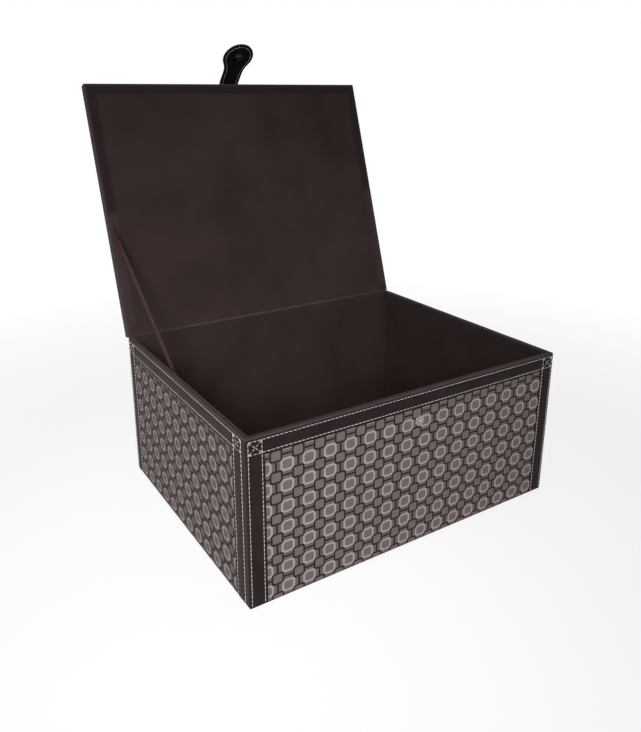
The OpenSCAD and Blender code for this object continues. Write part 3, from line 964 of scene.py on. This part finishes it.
def lid_corner(turn):
    """The lines of an L round the lid's corner, with the side arm running to the lid's middle,
    its relief and the fractions of its arms."""
    outer, inner = lid_line(turn)
    normal = line_normals(outer)
    first = arm_fractions(LID_ARM, LID_ROWS, LID_REACH)[::-1]
    side = half_d - LID_REACH
    close = np.arange(0, LID_ROWS[1] + 2 * mm, BOX_FINE)
    second = np.concatenate([close, np.linspace(close[-1], side, 22)[1:]]) / side
    on_top = outer[:, 1] > closed_h - 0.4 * mm
    along_front = (LID_REACH + first * (LID_ARM - LID_REACH))[:, None]
    along_side = (LID_REACH + second * side)[:, None]
    across = outer[None, :, 0]
    relief = np.concatenate([crossed(along_front, across, LID_ROWS, LID_ROWS),
                             np.zeros((CORNER_POINTS, len(outer))),
                             crossed(along_side, across, LID_ROWS, LID_ROWS)])
    relief = np.where(on_top[None, :], relief, 0.0)
    return outer, inner, normal, relief, (first, second)


def lid_plan(line, side_line, lift, normal, arms):
    """Plan and height of one face: the front arm follows line, the side arm side_line."""
    lift_in = normal[None, :, 0] * lift
    x, y = bent_plan(side_line[None, :, 0] + lift_in, line[None, :, 0] + lift_in,
                     (LID_ARM, half_d), arms, LID_REACH)
    return x, y, line[None, :, 1] + normal[None, :, 1] * lift


def half_border(turn, sign):
    """The lid's left border from one arm to the middle of the side, at the front (1) or the back
    (-1). The front arm's underside is turned in by turn, and the side's by the full width."""
    outer, inner, normal, relief, arms = lid_corner(turn)
    deep, deep_inner = lid_line(lid_turn_in)
    x, y, z = lid_plan(outer, deep, relief, normal, arms)
    face = np.stack([-half_w + x, sign * (-half_d + y), z], -1)
    flat = np.zeros_like(relief)
    x, y, z = lid_plan(inner, deep_inner, flat, normal, arms)
    back = np.stack([-half_w + x, sign * (-half_d + y), z + 0 * x], -1)
    return face, back, np.broadcast_to(lid_wear_and_highlight(outer), x.shape)


front_half = half_border(lid_turn_in, 1)
back_half = half_border(BACK_TURN, -1)
whole = [np.concatenate([a, b[::-1][1:]]) for a, b in zip(front_half, back_half)]
for side, flip_x in (("left", 1), ("right", -1)):
    flip = np.array([flip_x, 1.0, 1.0])
    points, faces = skin(opened(whole[0] * flip), opened(whole[1] * flip))
    piece = put(f"lid_border_{side}", points, faces, strip_leather, closed_values(whole[2]))
    soften(piece, EDGE_ROUND)
    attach(piece, "lid")
    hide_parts(f"lid_{side}_band")

for side, sign, turn in (("front", 1, lid_turn_in), ("back", -1, BACK_TURN)):
    outer, inner = lid_line(turn)
    normal = line_normals(outer)
    lift = np.where(outer[:, 1] > closed_h - 0.4 * mm, sewn(outer[:, 0], LID_ROWS), 0.0)
    x = np.linspace(-half_w + LID_ARM + butt, half_w - LID_ARM - butt, 61)[:, None] + 0 * lift[None, :]
    y = sign * (-half_d + outer[:, 0] + normal[:, 0] * lift) + 0 * x
    face = np.stack([x, y, outer[:, 1] + normal[:, 1] * lift + 0 * x], -1)
    back = np.stack([x, sign * (-half_d + inner[:, 0]) + 0 * x, inner[:, 1] + 0 * x], -1)
    wear_and_highlight = np.broadcast_to(lid_wear_and_highlight(outer), x.shape)
    points, faces = skin(opened(face), opened(back))
    piece = put(f"lid_border_{side}", points, faces, strip_leather, closed_values(wear_and_highlight))
    soften(piece, EDGE_ROUND)
    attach(piece, "lid")
    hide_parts(f"lid_{side}_band")
print("the lid has four borders,", len(points), "points on the last")

# %% [markdown]
# ## The lid's lining
#
# Inside the open lid lies the widest plain face in the picture. It is a sheet of its own, laid
# over the turned-in leather, so its edge stands a little proud on three sides. At the hinge it
# runs out flush, where the hinge cloth takes over. It isn't quite flat, because paper and paste
# never dry flat.

# %% The lid's lining
PROUD = 0.6 * mm


def sheet_steps(low, high, edge=0.7 * mm, coarse=9 * mm):
    """Coordinates from low to high, close together near both ends."""
    near = edge * np.array([0, 0.06, 0.2, 0.42, 0.7, 1.0])
    count = round((high - low - 2 * edge) / coarse)
    between = np.linspace(low + edge, high - edge, count + 1)[1:-1]
    return np.concatenate([low + near, between, high - near[::-1]])


def smooth_step(value, start, end):
    """3 t^2 - 2 t^3 for t from 0 at start to 1 at end."""
    t = np.clip((value - start) / (end - start), 0, 1)
    return t * t * (3 - 2 * t)


low, high = corner_pair("lid_lining", shut=True)
x, y = np.meshgrid(sheet_steps(low[0], high[0]), sheet_steps(low[1], high[1]), indexing="ij")
edge = np.minimum(np.minimum(x - low[0], high[0] - x), y - low[1])
rise = np.sqrt(1 - (1 - np.clip(edge / (0.6 * mm), 0, 1)) ** 2)
fade = 1 - smooth_step(y, 139 * mm, 142.5 * mm)
waves = 0.05 * mm * np.sin(x * 31 + y * 17) * np.sin(y * 43 - x * 12) * smooth_step(edge, 0, 12 * mm)
face = np.stack([x, y, lid_z - fade * (PROUD * rise + waves)], -1)
back = np.stack([x, y, lid_z + 0.5 * lining_t + 0 * x], -1)
points, faces = skin(opened(face), opened(back))
lid_sheet = put("lid_lining_sheet", points, faces, lining)
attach(lid_sheet, "lid")
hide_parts("lid_lining")
print("lining", [round(float(s / mm), 1) for s in (high - low)[:2]], "mm")

# %% [markdown]
# ## Stitches
#
# A painted dash would do from far away, but thread has a body: it comes out of one hole, lies on
# the leather for four millimetres and goes down the next hole. One small capsule is made once,
# and a whole seam is that capsule repeated by array sums, each copy turned along its seam and a
# little askew, as a machine lays it. The places are worked out flat, as a distance a across a
# face and b down it, and a last function carries them to the face.

# %% Stitches
PITCH = 4.6 * mm
STITCH = 4.1 * mm
THREAD_RADIUS = 0.34 * mm
ASKEW = math.radians(4)


def capsule(sides=8, rings=6):
    """A stitch of length 2 and radius 1, as (along, across, up): the radius at u is
    (1 - u^4)^(1/2), and u is close-set near the ends."""
    u = np.sin(math.pi / 2 * np.linspace(-1, 1, rings))[:, None]
    angle = 2 * math.pi * np.arange(sides) / sides
    radius = np.sqrt(np.clip(1 - u ** 4, 0, 1))
    return np.stack([u + 0 * angle, radius * np.cos(angle), radius * np.sin(angle)], -1)


def seam(corners, pitch=PITCH, slow=0.3 * mm):
    """Middle and direction of each stitch along a line through corners: stitch k of n is at the
    share (k + 1/2) / n of the line's length."""
    corners = np.asarray(corners, float)
    so_far = np.concatenate([[0], np.cumsum(np.linalg.norm(np.diff(corners, axis=0), axis=1))])
    count = max(1, round(so_far[-1] / pitch))
    middles = (np.arange(count) + 0.5) * so_far[-1] / count

    def at(distance):
        return np.stack([np.interp(distance, so_far, corners[:, k]) for k in (0, 1)], -1)

    way = at(middles + slow) - at(middles - slow)
    return np.concatenate([at(middles), way / np.linalg.norm(way, axis=1, keepdims=True)], axis=1)


def stitch_work(name, seams, carry, length=STITCH, radius=THREAD_RADIUS, sink=0.02 * mm,
                dive=0.40 * mm):
    """One mesh of all the stitches of the seams. A template point (u, v, w) goes length/2 u along
    its stitch, radius v across and radius w - sink - dive u^2 up, and carry puts it on the face."""
    stitches = np.concatenate(seams)
    middle, way = stitches[:, None, None, :2], stitches[:, None, None, 2:]
    cos, sin = math.cos(ASKEW), math.sin(ASKEW)
    way = np.stack([way[..., 0] * cos - way[..., 1] * sin, way[..., 0] * sin + way[..., 1] * cos], -1)
    side = np.stack([-way[..., 1], way[..., 0]], -1)
    shape = capsule()[None]
    u, v, w = shape[..., 0], shape[..., 1], shape[..., 2]
    flat = middle + way * (u * length / 2)[..., None] + side * (v * radius)[..., None]
    up = np.broadcast_to(w * radius - sink - dive * u ** 2, flat.shape[:3])
    points = carry(flat[..., 0], flat[..., 1], up)
    count, rings, sides = points.shape[:3]
    one = grid_faces(rings, sides, closed=True)
    faces = (one[None] + (np.arange(count) * rings * sides)[:, None, None]).reshape(-1, 4)
    twist = np.broadcast_to(u * length / 2 + 0.8 * v * radius, up.shape)
    return put(name, points.reshape(-1, 3), faces, white_thread, {"twist": twist / mm})


def box_seams(width, columns, far_columns, foot):
    """The seams of one face: two rows below the rim, two columns near each end, and the crosses
    where they meet. Columns are measured from the near end, far columns from the far end."""
    top, bottom = RIM_ROWS
    near, far = columns, (width - far_columns[0], width - far_columns[1])
    runs = [[(near[0], row), (far[0], row)] for row in RIM_ROWS]
    runs += [[(column, top), (column, foot)] for column in near + far]
    for outer, inner in (near, far):
        runs += [[(outer, top), (inner, bottom)], [(inner, top), (outer, bottom)]]
    return [seam(run) for run in runs]


foot = body_h - 2 * mm
stitched_faces = {
    "front": (box_seams(2 * half_w, FRONT_ROWS, FRONT_ROWS, foot),
              lambda a, b, up: np.stack([a - half_w, -half_d - up, body_h - b], -1)),
    "back": (box_seams(2 * half_w, FRONT_ROWS, FRONT_ROWS, foot),
             lambda a, b, up: np.stack([half_w - a, half_d + up, body_h - b], -1)),
    "left": (box_seams(2 * half_d, SIDE_ROWS, BACK_SIDE_ROWS, foot),
             lambda a, b, up: np.stack([-half_w - up, a - half_d, body_h - b], -1)),
    "right": (box_seams(2 * half_d, SIDE_ROWS, BACK_SIDE_ROWS, foot),
              lambda a, b, up: np.stack([half_w + up, a - half_d, body_h - b], -1)),
}
for side, (seams, carry) in stitched_faces.items():
    work = stitch_work(f"stitches_{side}", seams, carry)
    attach(work, "box")
print("stitches on the front:", sum(len(run) for run in stitched_faces["front"][0]))


def lid_seams(width, depth, gap):
    """The lid's seams: two rows along each edge, with a gap in the front rows for the tab."""
    outer, inner = LID_ROWS
    runs = []
    for row in LID_ROWS:
        runs += [[(outer, row), (width / 2 - gap, row)], [(width / 2 + gap, row), (width - outer, row)]]
        runs += [[(outer, depth - row), (width - outer, depth - row)]]
        runs += [[(column, outer), (column, depth - outer)] for column in (row, width - row)]
    for a0, a1 in ((outer, inner), (width - outer, width - inner)):
        for b0, b1 in ((outer, inner), (depth - outer, depth - inner)):
            runs += [[(a0, b0), (a1, b1)], [(a1, b0), (a0, b1)]]
    return [seam(run) for run in runs]


tab_half = corner_pair("tab_root", shut=True)[1][0]
lid_work = stitch_work("stitches_lid", lid_seams(2 * half_w, 2 * half_d, tab_half + 1 * mm),
                       lambda a, b, up: opened(np.stack([a - half_w, b - half_d, closed_h + up], -1)))
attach(lid_work, "lid")

# %% [markdown]
# ## The hinge
#
# Two strips join the lid to the box. Outside, a strip of leather is glued on the back wall and
# on the lid's back edge, and bends along the line between them. Inside, a strip of cloth comes up
# the back wall, lies over the rim and goes on up the lid. Both are drawn for the open lid.
# Where the cloth folds it is paler, partly rubbed wear and partly a painted highlight, and that makes the
# thin light line inside the box.

# %% The hinge
def shut_profile(points):
    """Points (y, z) of the shut lid's frame as the open lid has them."""
    flat = np.array([[0.0, y, z] for y, z in points])
    return opened(flat)[:, 1:]


def along_box(line, inner_line, half_length, columns):
    """A closed skin: the line carried along x, with the inner line as its other face."""
    x = np.linspace(-half_length, half_length, columns)[:, None] + 0 * line[None, :, 0]
    face = np.stack([x, line[None, :, 0] + 0 * x, line[None, :, 1] + 0 * x], -1)
    back = np.stack([x, inner_line[None, :, 0] + 0 * x, inner_line[None, :, 1] + 0 * x], -1)
    return face, back


STRIP = 0.8 * mm                 # thick
lid_end = lid_z + hinge_lid_lap
strip_end = shut_profile([(half_d, lid_end), (half_d + STRIP, lid_end)])
fold_inner = np.array([half_d, body_h + 0.2 * mm])
wall_foot = body_h - hinge_lap
way = strip_end[0] - fold_inner
way = way / np.linalg.norm(way)
turn = math.atan2(way[0], way[1])
fold_outer = fold_inner + STRIP * np.array([1.0, -math.tan(turn / 2)])
lid_outer = strip_end[0] + STRIP * np.array([way[1], -way[0]])
legs = (np.linspace(0, 1, 8), np.linspace(0, 1, 6))
inner_line = rounded_line([(half_d, wall_foot), fold_inner, strip_end[0]], (0.25 * mm,), legs)
outer_line = rounded_line([(half_d + STRIP, wall_foot), fold_outer, lid_outer], (0.7 * mm,), legs)
# Both ends of the strip are pared thin.
ends = np.minimum(np.arange(len(outer_line)), np.arange(len(outer_line))[::-1])
outer_line = np.where((ends == 0)[:, None], 0.35 * outer_line + 0.65 * inner_line, outer_line)
half_strip = corner_pair("hinge_leather")[1][0]
face, back = along_box(outer_line, inner_line, half_strip, 81)
waves = uneven(face[..., 0], face[..., 1], face[..., 2]) * (ends > 1)
face = face + np.stack([0 * waves, waves, 0 * waves], -1)
fold_at = len(legs[0]) + (FOLD_POINTS - 1) / 2
# Paler along the fold: wear, and a painted highlight.
wear_and_highlight = 0.35 * np.exp(-((np.arange(len(outer_line)) - fold_at) / 4) ** 2)
wear_and_highlight = np.broadcast_to(wear_and_highlight, face.shape[:2])
points, faces = skin(face, back)
hinge_strip = put("hinge_strip", points, faces, strip_leather, closed_values(wear_and_highlight))
bisector = np.array([0.0, math.sin(turn / 2), math.cos(turn / 2)])
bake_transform(hinge_strip)
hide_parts("hinge_leather")

CLOTH = 0.22 * mm                # thick
FOOT = 0.14 * mm                 # left of it at its lower edge, which clears the leather
low, high = corner_pair("hinge_cloth")
cloth_foot, cloth_x = body_h - turn_in - 0.6 * mm, high[0]
cloth_reach = half_d - corner_pair("hinge_cloth", shut=True)[0][1]
under = lid_z - 0.05 * mm
fold_y = half_d - 1 * mm
wall_end = (inner_y - FOOT, cloth_foot)
lid_points = shut_profile([(fold_y, under - CLOTH), (half_d - cloth_reach, under - CLOTH),
                           (fold_y, under + 0.1 * mm), (half_d - cloth_reach, under + 0.1 * mm)])
few = np.linspace(0, 1, 8)
wall = np.append([0, 0.01], few[1:])
over = np.linspace(0, 1, 6)
legs = (wall, over, few, few)
seen = rounded_line([wall_end, (inner_y - CLOTH, body_h + CLOTH), (fold_y, body_h + CLOTH),
                     lid_points[0], lid_points[1]], (0.8 * mm, 0.1 * mm, 0.1 * mm), legs)
hidden = rounded_line([(inner_y + 0.1 * mm, cloth_foot), (inner_y + 0.1 * mm, body_h - 0.1 * mm),
                       (fold_y, body_h - 0.1 * mm), lid_points[2], lid_points[3]],
                      (0.7 * mm, 0.1 * mm, 0.1 * mm), legs)
fold = np.array([fold_y + 0.2 * mm, body_h + CLOTH])
bead = np.exp(-(np.linalg.norm(seen - fold, axis=1) / (1.3 * mm)) ** 2)
normal = line_normals(seen)
seen = seen + normal * (0.12 * mm * bead)[:, None]
face, back = along_box(seen, hidden, cloth_x, 61)
along = face[..., 0] / cloth_x
# Paler along the fold's bead: rubbed wear, and a painted highlight that makes the thin light line.
wear_and_highlight = 0.42 * bead[None, :] * (1 - 0.55 * np.abs(along) ** 3) * (0.85 + 0.15 * np.sin(face[..., 0] * 210))
points, faces = skin(face, back)
fold_cloth = put("hinge_cloth_sheet", points, faces, lining, closed_values(wear_and_highlight))
fold_start, fold_end = fold_y + 0.1 * mm, fold_y + 1.2 * mm
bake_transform(fold_cloth)
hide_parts("hinge_cloth")
cloth_length = float(np.linalg.norm(np.diff(seen, axis=0), axis=1).sum())
2 * cloth_x
print(f"hinge cloth {cloth_length / mm:.1f} x {2 * cloth_x / mm:.1f} mm")

# %% [markdown]
# ## The ribbon
#
# A satin ribbon stops the lid. It is taut when the lid is open, so it runs straight, but a ribbon
# is never dead flat: it is a little hollow across, and its two edges are woven thicker. Its
# lower end is glued inside the left wall, and its upper end to the lid.

# %% The ribbon
RIBBON = 0.35 * mm               # thick
RIBBON_FOOT = 161.0 * mm         # height of its glued lower end
low, high = corner_pair("ribbon_stay")
ribbon_x = low[0]
ribbon_low = np.array([0.0, RIBBON_FOOT])
ribbon_high = shut_profile([(half_d - 130 * mm, lid_z - 0.3 * mm)])[0]
ribbon_w = 10 * mm
run = ribbon_high - ribbon_low
ribbon_length = float(np.linalg.norm(run))
run = run / ribbon_length
across = np.array([-run[1], run[0]])
lid_way = shut_profile([(0.0, lid_z), (1.0, lid_z)])
lid_way = lid_way[1] - lid_way[0]
skew = float(np.dot(run, lid_way) / np.dot(across, lid_way))
s, t = np.meshgrid(np.linspace(0, 1, 101), np.linspace(-1, 1, 17), indexing="ij")
side = t * ribbon_w / 2
far = ribbon_length + side * skew
y = ribbon_low[0] + run[0] * s * far + across[0] * side
z = ribbon_low[1] + run[1] * s * far + across[1] * side
hollow = 0.35 * mm * (1 - t ** 2) * np.sin(math.pi * s) + 0.05 * mm * np.sin(s * 40 + t * 2) * s * (1 - s)
woven_edge = 0.08 * mm * (np.abs(t) > 0.9)
middle_x = ribbon_x + 0.30 * mm + hollow
face = np.stack([middle_x - RIBBON / 2 - woven_edge / 2, y, z], -1)
back = np.stack([middle_x + RIBBON / 2 + woven_edge / 2, y, z], -1)
points, faces = skin(face, back)
ribbon = put("satin_ribbon", points, faces, ribbon_satin)
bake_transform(ribbon)
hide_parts("ribbon_stay")
print(f"ribbon {ribbon_length / mm:.1f} mm long")

# %% [markdown]
# ## The closure tab
#
# Two plies of leather are glued back to back, sewn round the edge and sewn to the top of the lid.
# The tab is worked out flat: D runs along it from the bend, x across. Its half-width is a chain
# of arcs: a round end, a straight neck, a hollow flare and a round head. Then the flat tab is bent
# over the lid's edge along an arc, and the same bending carries its stitches.

# %% The closure tab
PLY = 1.2 * mm
BEND_RADIUS = 8 * mm
TAB_BEND = math.pi / 2 - math.radians(joints["tab_bend"]["range_deg"][1])
tab_axis = turned(np.array(joints["tab_bend"]["pos_m"]), HINGE, OPEN_ANGLE)[1:]
low, high = corner_pair("tab_root", shut=True)
NECK = high[0]
ROOT = tab_axis[0] - high[1]                 # negative: the root lies behind the bend
ROOT_MIDDLE = ROOT + NECK
HEAD = corner_pair("tab_outer_ply", shut=True)[1][0]
low, high = corner_pair("snap_stud")
stud_z, stud_y = (low[2] + high[2]) / 2, high[1]
SNAP = tab_axis[1] - stud_z
FLARE = 30 * mm
FLARE_X = NECK + FLARE
FLARE_D = SNAP - math.sqrt((FLARE + HEAD) ** 2 - FLARE_X ** 2)
TOUCH = SNAP + (FLARE_D - SNAP) * HEAD / (FLARE + HEAD)


def half_width(along, inset=0.0):
    """Half the tab's width at a distance along it, for the outline moved in by an inset."""
    neck, head = NECK - inset, HEAD - inset
    root = np.sqrt(np.clip(neck ** 2 - (along - ROOT_MIDDLE) ** 2, 0, None))
    flare = FLARE_X - np.sqrt(np.clip((FLARE + inset) ** 2 - (along - FLARE_D) ** 2, 0, None))
    round_head = np.sqrt(np.clip(head ** 2 - (along - SNAP) ** 2, 0, None))
    touch = SNAP + (FLARE_D - SNAP) * head / (FLARE + HEAD)
    zones = [along < ROOT_MIDDLE, along < FLARE_D, along < touch]
    return np.select(zones, [root, neck, flare], round_head)


def edge_distance(x, along):
    """How far a point of the flat tab is inside its outline."""
    x = np.abs(x)
    root = NECK - np.hypot(x, along - ROOT_MIDDLE)
    flare = np.hypot(x - FLARE_X, along - FLARE_D) - FLARE
    head = HEAD - np.hypot(x, along - SNAP)
    zones = [along < ROOT_MIDDLE, along < FLARE_D, along < TOUCH]
    return np.select(zones, [root, NECK - x, flare], head)


def bent_tab(x, along, up):
    """The flat tab in its place: straight on the lid, an arc of BEND_RADIUS, straight again."""
    tangent = BEND_RADIUS * math.tan(TAB_BEND / 2)
    angle = TAB_BEND * np.clip((along + tangent) / (2 * tangent), 0, 1)
    cos, sin = np.cos(angle), np.sin(angle)
    before = np.maximum(-tangent - along, 0)
    after = np.maximum(along - tangent, 0)
    y = tangent - BEND_RADIUS * sin + before - after * cos - up * sin
    z = BEND_RADIUS * (cos - 1) - after * sin + up * cos
    return opened(np.stack([x, tab_axis[0] + y, tab_axis[1] + z], -1))


def blended_tab(obj):
    """Bakes the piece's place into its points; the bend's two ends are worked out but not used."""
    way = np.array([0.0, -1 - math.cos(TAB_BEND), -math.sin(TAB_BEND)])
    way = way / np.linalg.norm(way)
    middle = np.array([0.0, *tab_axis])
    reach = 4.6 * mm
    opened(middle - reach * way)
    opened(middle + reach * way)
    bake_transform(obj)


TAB_SEAM = 3.8 * mm
TAB_EDGE = 0.72 * mm             # half the thickness right at the edge
TAB_ROUND = 0.5 * mm             # from the edge to the full thickness
root_end = ROOT_MIDDLE - NECK * np.cos(np.linspace(0, math.pi / 2, 16))
shaft = np.arange(ROOT_MIDDLE, TOUCH, 0.75 * mm)[1:]
head_start = math.asin((TOUCH - SNAP) / HEAD)
head_end = SNAP + HEAD * np.sin(np.linspace(head_start, math.pi / 2, 56))
along = np.concatenate([root_end, shaft, head_end])[:, None]
share = np.sin(math.pi / 2 * np.linspace(-1, 1, 65))[None, :]
x = half_width(along) * share
inside_by = np.maximum(edge_distance(x, along + 0 * x), 0)
pressed = 0.26 * mm * np.exp(-((inside_by - TAB_SEAM) / (0.7 * mm)) ** 2)
rounded = np.sqrt(1 - (1 - np.clip(inside_by / TAB_ROUND, 0, 1)) ** 2)
half_thick = TAB_EDGE + (PLY - TAB_EDGE) * rounded - pressed
pad = 0.12 * mm * smooth_step(inside_by, TAB_SEAM, TAB_SEAM + 5 * mm)
face = bent_tab(x, along + 0 * x, half_thick + pad)
back = bent_tab(x, along + 0 * x, -half_thick)
points, faces = skin(face, back)
wear_and_highlight = 0.8 * np.exp(-(inside_by / TAB_ROUND) ** 2)
both_wears = {"worn": np.concatenate([wear_and_highlight, wear_and_highlight[:, ::-1]], axis=1)}
tab = put("closure_tab", points, faces, tab_leather, both_wears)
blended_tab(tab)
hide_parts("tab_root", "tab_outer_ply", "tab_inner_ply")

root_seam = ROOT_MIDDLE - (NECK - TAB_SEAM) * np.cos(np.linspace(0, math.pi / 2, 40))
head_seam = SNAP + (HEAD - TAB_SEAM) * np.sin(np.linspace(head_start, math.pi / 2, 60))
seam_along = np.concatenate([root_seam, np.linspace(ROOT_MIDDLE, TOUCH, 90)[1:], head_seam[1:]])
seam_x = half_width(seam_along, TAB_SEAM)
outline = np.concatenate([np.stack([seam_x, seam_along], 1), np.stack([-seam_x, seam_along], 1)[::-1]])
tab_seams = [seam(outline, 3.4 * mm)]
for name, sign in (("outer", 1), ("inner", -1)):
    work = stitch_work(f"stitches_tab_{name}", tab_seams,
                       lambda a, b, up: bent_tab(a, b, sign * (PLY + up)),
                       length=3.0 * mm, radius=0.28 * mm, dive=0.30 * mm)
    blended_tab(work)
print("tab head", round(2 * HEAD / mm, 1), "mm wide, bend", round(math.degrees(TAB_BEND), 1), "degrees")

# %% [markdown]
# ## The snap
#
# Each part of the snap is round, so it is a profile of radius and height turned about its axis:
# the socket with its rolled rim and deep hole on the inside of the tab, the domed cap on the
# outside, and the stud on the front of the box.

# %% The snap
def lathe(profile, place, sides=48, steps=3):
    """A profile of (radius, height) in mm turned about an axis; place carries (x, y, height)."""
    profile = np.asarray(profile, float) * mm
    position = np.arange(len(profile))
    fine = np.linspace(0, len(profile) - 1, steps * (len(profile) - 1) + 1)
    smooth = np.stack([np.interp(fine, position, profile[:, k]) for k in (0, 1)], 1)
    angle = 2 * math.pi * np.arange(sides) / sides
    radius, height = smooth[:, :1], smooth[:, 1:]
    points = place(radius * np.cos(angle), radius * np.sin(angle), height + 0 * angle)
    return points.reshape(-1, 3), grid_faces(len(smooth), sides, closed=True)


SOCKET = [(0, 0.08), (2.4, 0.08), (2.5, 0.2), (2.5, 1.5), (2.58, 1.85), (2.85, 2.0), (3.2, 2.0),
          (3.55, 1.85), (3.7, 1.5), (3.8, 1.1), (4.1, 0.85), (4.8, 0.8), (5.4, 0.8), (5.9, 0.7),
          (6.2, 0.45), (6.25, 0.15), (6.2, -0.2), (0, -0.2)]
CAP = [(0, 1.4), (1.2, 1.37), (2.4, 1.26), (3.5, 1.05), (4.5, 0.78), (5.3, 0.5), (5.9, 0.28),
       (6.2, 0.12), (6.2, -0.2), (0, -0.2)]
STUD = [(0, 3.2), (1.1, 3.15), (1.8, 2.95), (2.2, 2.6), (2.25, 2.25), (1.95, 1.9), (1.9, 1.4),
        (2.15, 1.05), (3.0, 0.85), (4.3, 0.72), (5.0, 0.55), (5.4, 0.3), (5.45, 0.0), (5.4, -0.2),
        (0, -0.2)]
snap_parts = {
    "snap_socket": (SOCKET, gunmetal, "tab", lambda a, b, up: bent_tab(a, SNAP + b, -PLY - up)),
    "snap_cap": (CAP, gunmetal, "tab", lambda a, b, up: bent_tab(a, SNAP + b, PLY + 0.1 * mm + up)),
    "snap_stud": (STUD, metal, "box", lambda a, b, up: np.stack([a, stud_y - up, stud_z + b], -1)),
}
for node, (profile, plating, body, place) in snap_parts.items():
    points, faces = lathe(profile, place)
    part = put(f"metal_{node}", points, faces, plating)
    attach(part, body)
    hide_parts(node)
print("snap parts:", ", ".join(snap_parts))

# %% [markdown]
# ## Light, floor and background
#
# The photograph has the box alone on white. It is lit from the front left, close by, because the
# near corner is the brightest and the far right a good deal darker. A soft lamp with a grid in
# front does that: the grid narrows its light, so it fades towards the right and the top. A low
# lamp grazes the left side, a weak one fills from the right, and the sky's even light does the
# rest. All stay at a plain level, so a colour renders about as it is written. The white comes
# from the background itself: only the camera, and what mirrors, sees it as white. Near the box
# the floor keeps its shadow.

# %% Light, floor and background
SKY_LIGHT = 0.25
KEY_GRID = math.radians(50)
FLOOR_HALF = 3.0
FLOOR_GLOW = 0.72                # of the floor's look, the part that is plain white
FLOOR_LIT = 0.36                 # and the part that is lit, and so shows the shadow
FADE_FROM, FADE_TO = 0.42, 0.95  # metres from the middle, where the shadow fades out


def white_world():
    world = bpy.data.worlds.new("studio")
    bpy.context.scene.world = world
    world.use_nodes = True
    tree = world.node_tree
    tree.nodes.clear()
    path = tree.nodes.new("ShaderNodeLightPath")
    seen = tree.nodes.new("ShaderNodeMath")
    seen.operation = "MAXIMUM"
    through = tree.nodes.new("ShaderNodeMath")
    through.operation = "MAXIMUM"
    tree.links.new(path.outputs["Is Camera Ray"], seen.inputs[0])
    tree.links.new(path.outputs["Is Glossy Ray"], seen.inputs[1])
    tree.links.new(seen.outputs[0], through.inputs[0])
    tree.links.new(path.outputs["Is Transmission Ray"], through.inputs[1])
    strength = tree.nodes.new("ShaderNodeMapRange")
    strength.inputs["To Min"].default_value = SKY_LIGHT
    strength.inputs["To Max"].default_value = 1.0
    tree.links.new(through.outputs[0], strength.inputs["Value"])
    sky = tree.nodes.new("ShaderNodeBackground")
    sky.inputs["Color"].default_value = (1.0, 1.0, 1.0, 1.0)
    tree.links.new(strength.outputs[0], sky.inputs["Strength"])
    end = tree.nodes.new("ShaderNodeOutputWorld")
    tree.links.new(sky.outputs[0], end.inputs["Surface"])


def soft_lamp(name, place, aim, size, watts, grid=math.pi):
    """A square lamp at a place, turned so that its light goes towards the aim. The grid is the
    full angle of its light."""
    lamp = bpy.data.lights.new(name, "AREA")
    lamp.size = size
    lamp.energy = watts
    lamp.spread = grid
    obj = bpy.data.objects.new(name, lamp)
    away = Matrix.Translation(place).translation - Matrix.Translation(aim).translation
    obj.matrix_world = Matrix.Translation(place) @ away.to_track_quat("Z", "Y").to_matrix().to_4x4()
    bpy.context.scene.collection.objects.link(obj)
    return obj


def pale_floor():
    """A wide sheet, a shade below the base. Light that bounces finds white paper. The camera
    sees FLOOR_GLOW of plain white plus FLOOR_LIT of paper, and plain white far from the box."""
    finish = Finish("pale_floor")
    path = finish.tree.nodes.new("ShaderNodeLightPath")
    camera, glossy, through = (Wire(finish, path.outputs[f"Is {kind} Ray"])
                               for kind in ("Camera", "Glossy", "Transmission"))
    direct = larger(larger(camera, glossy), through)
    away = finish.node("ShaderNodeVectorMath", {"operation": "LENGTH"}, {0: finish.place()}, "Value")
    fade = ((away - FADE_FROM) / (FADE_TO - FADE_FROM)).maths("SMOOTH_MIN", 1.0, 0.2)
    fade = larger(fade, 0.0)
    paper = finish.node("ShaderNodeBsdfDiffuse", {}, {"Color": (0.86, 0.86, 0.86, 1.0)})
    lit = finish.node("ShaderNodeBsdfDiffuse", {}, {"Color": (FLOOR_LIT, FLOOR_LIT, FLOOR_LIT, 1.0)})
    glow = finish.node("ShaderNodeEmission", {}, {"Strength": FLOOR_GLOW})
    white = finish.node("ShaderNodeEmission", {}, {"Strength": 1.0})
    near = finish.node("ShaderNodeAddShader", {}, {0: lit, 1: glow})
    seen = finish.node("ShaderNodeMixShader", {}, {0: fade, 1: near, 2: white})
    both = finish.node("ShaderNodeMixShader", {}, {0: direct, 1: paper, 2: seen})
    finish.node_output(both)
    side = np.linspace(-FLOOR_HALF, FLOOR_HALF, 3)
    x, y = np.meshgrid(side, side, indexing="ij")
    points = np.stack([x, y, np.full_like(x, -0.2 * mm)], -1).reshape(-1, 3)
    mesh = bpy.data.meshes.new("floor")
    mesh.from_pydata(points.tolist(), [], grid_faces(3, 3).tolist())
    mesh.materials.append(finish.material)
    obj = bpy.data.objects.new("floor", mesh)
    bpy.context.scene.collection.objects.link(obj)


white_world()
soft_lamp("key_lamp", (-0.85, -1.15, 0.85), (-0.20, -0.08, 0.17), 0.6, 2.3, KEY_GRID)
soft_lamp("side_lamp", (-1.3, -0.1, 0.2), (-0.2, 0.0, 0.1), 0.6, 0.3)
soft_lamp("fill_lamp", (1.6, -1.2, 0.9), (0.0, 0.0, 0.15), 1.4, 0.8)
pale_floor()
scene = bpy.context.scene
scene.view_settings.view_transform = "Standard"
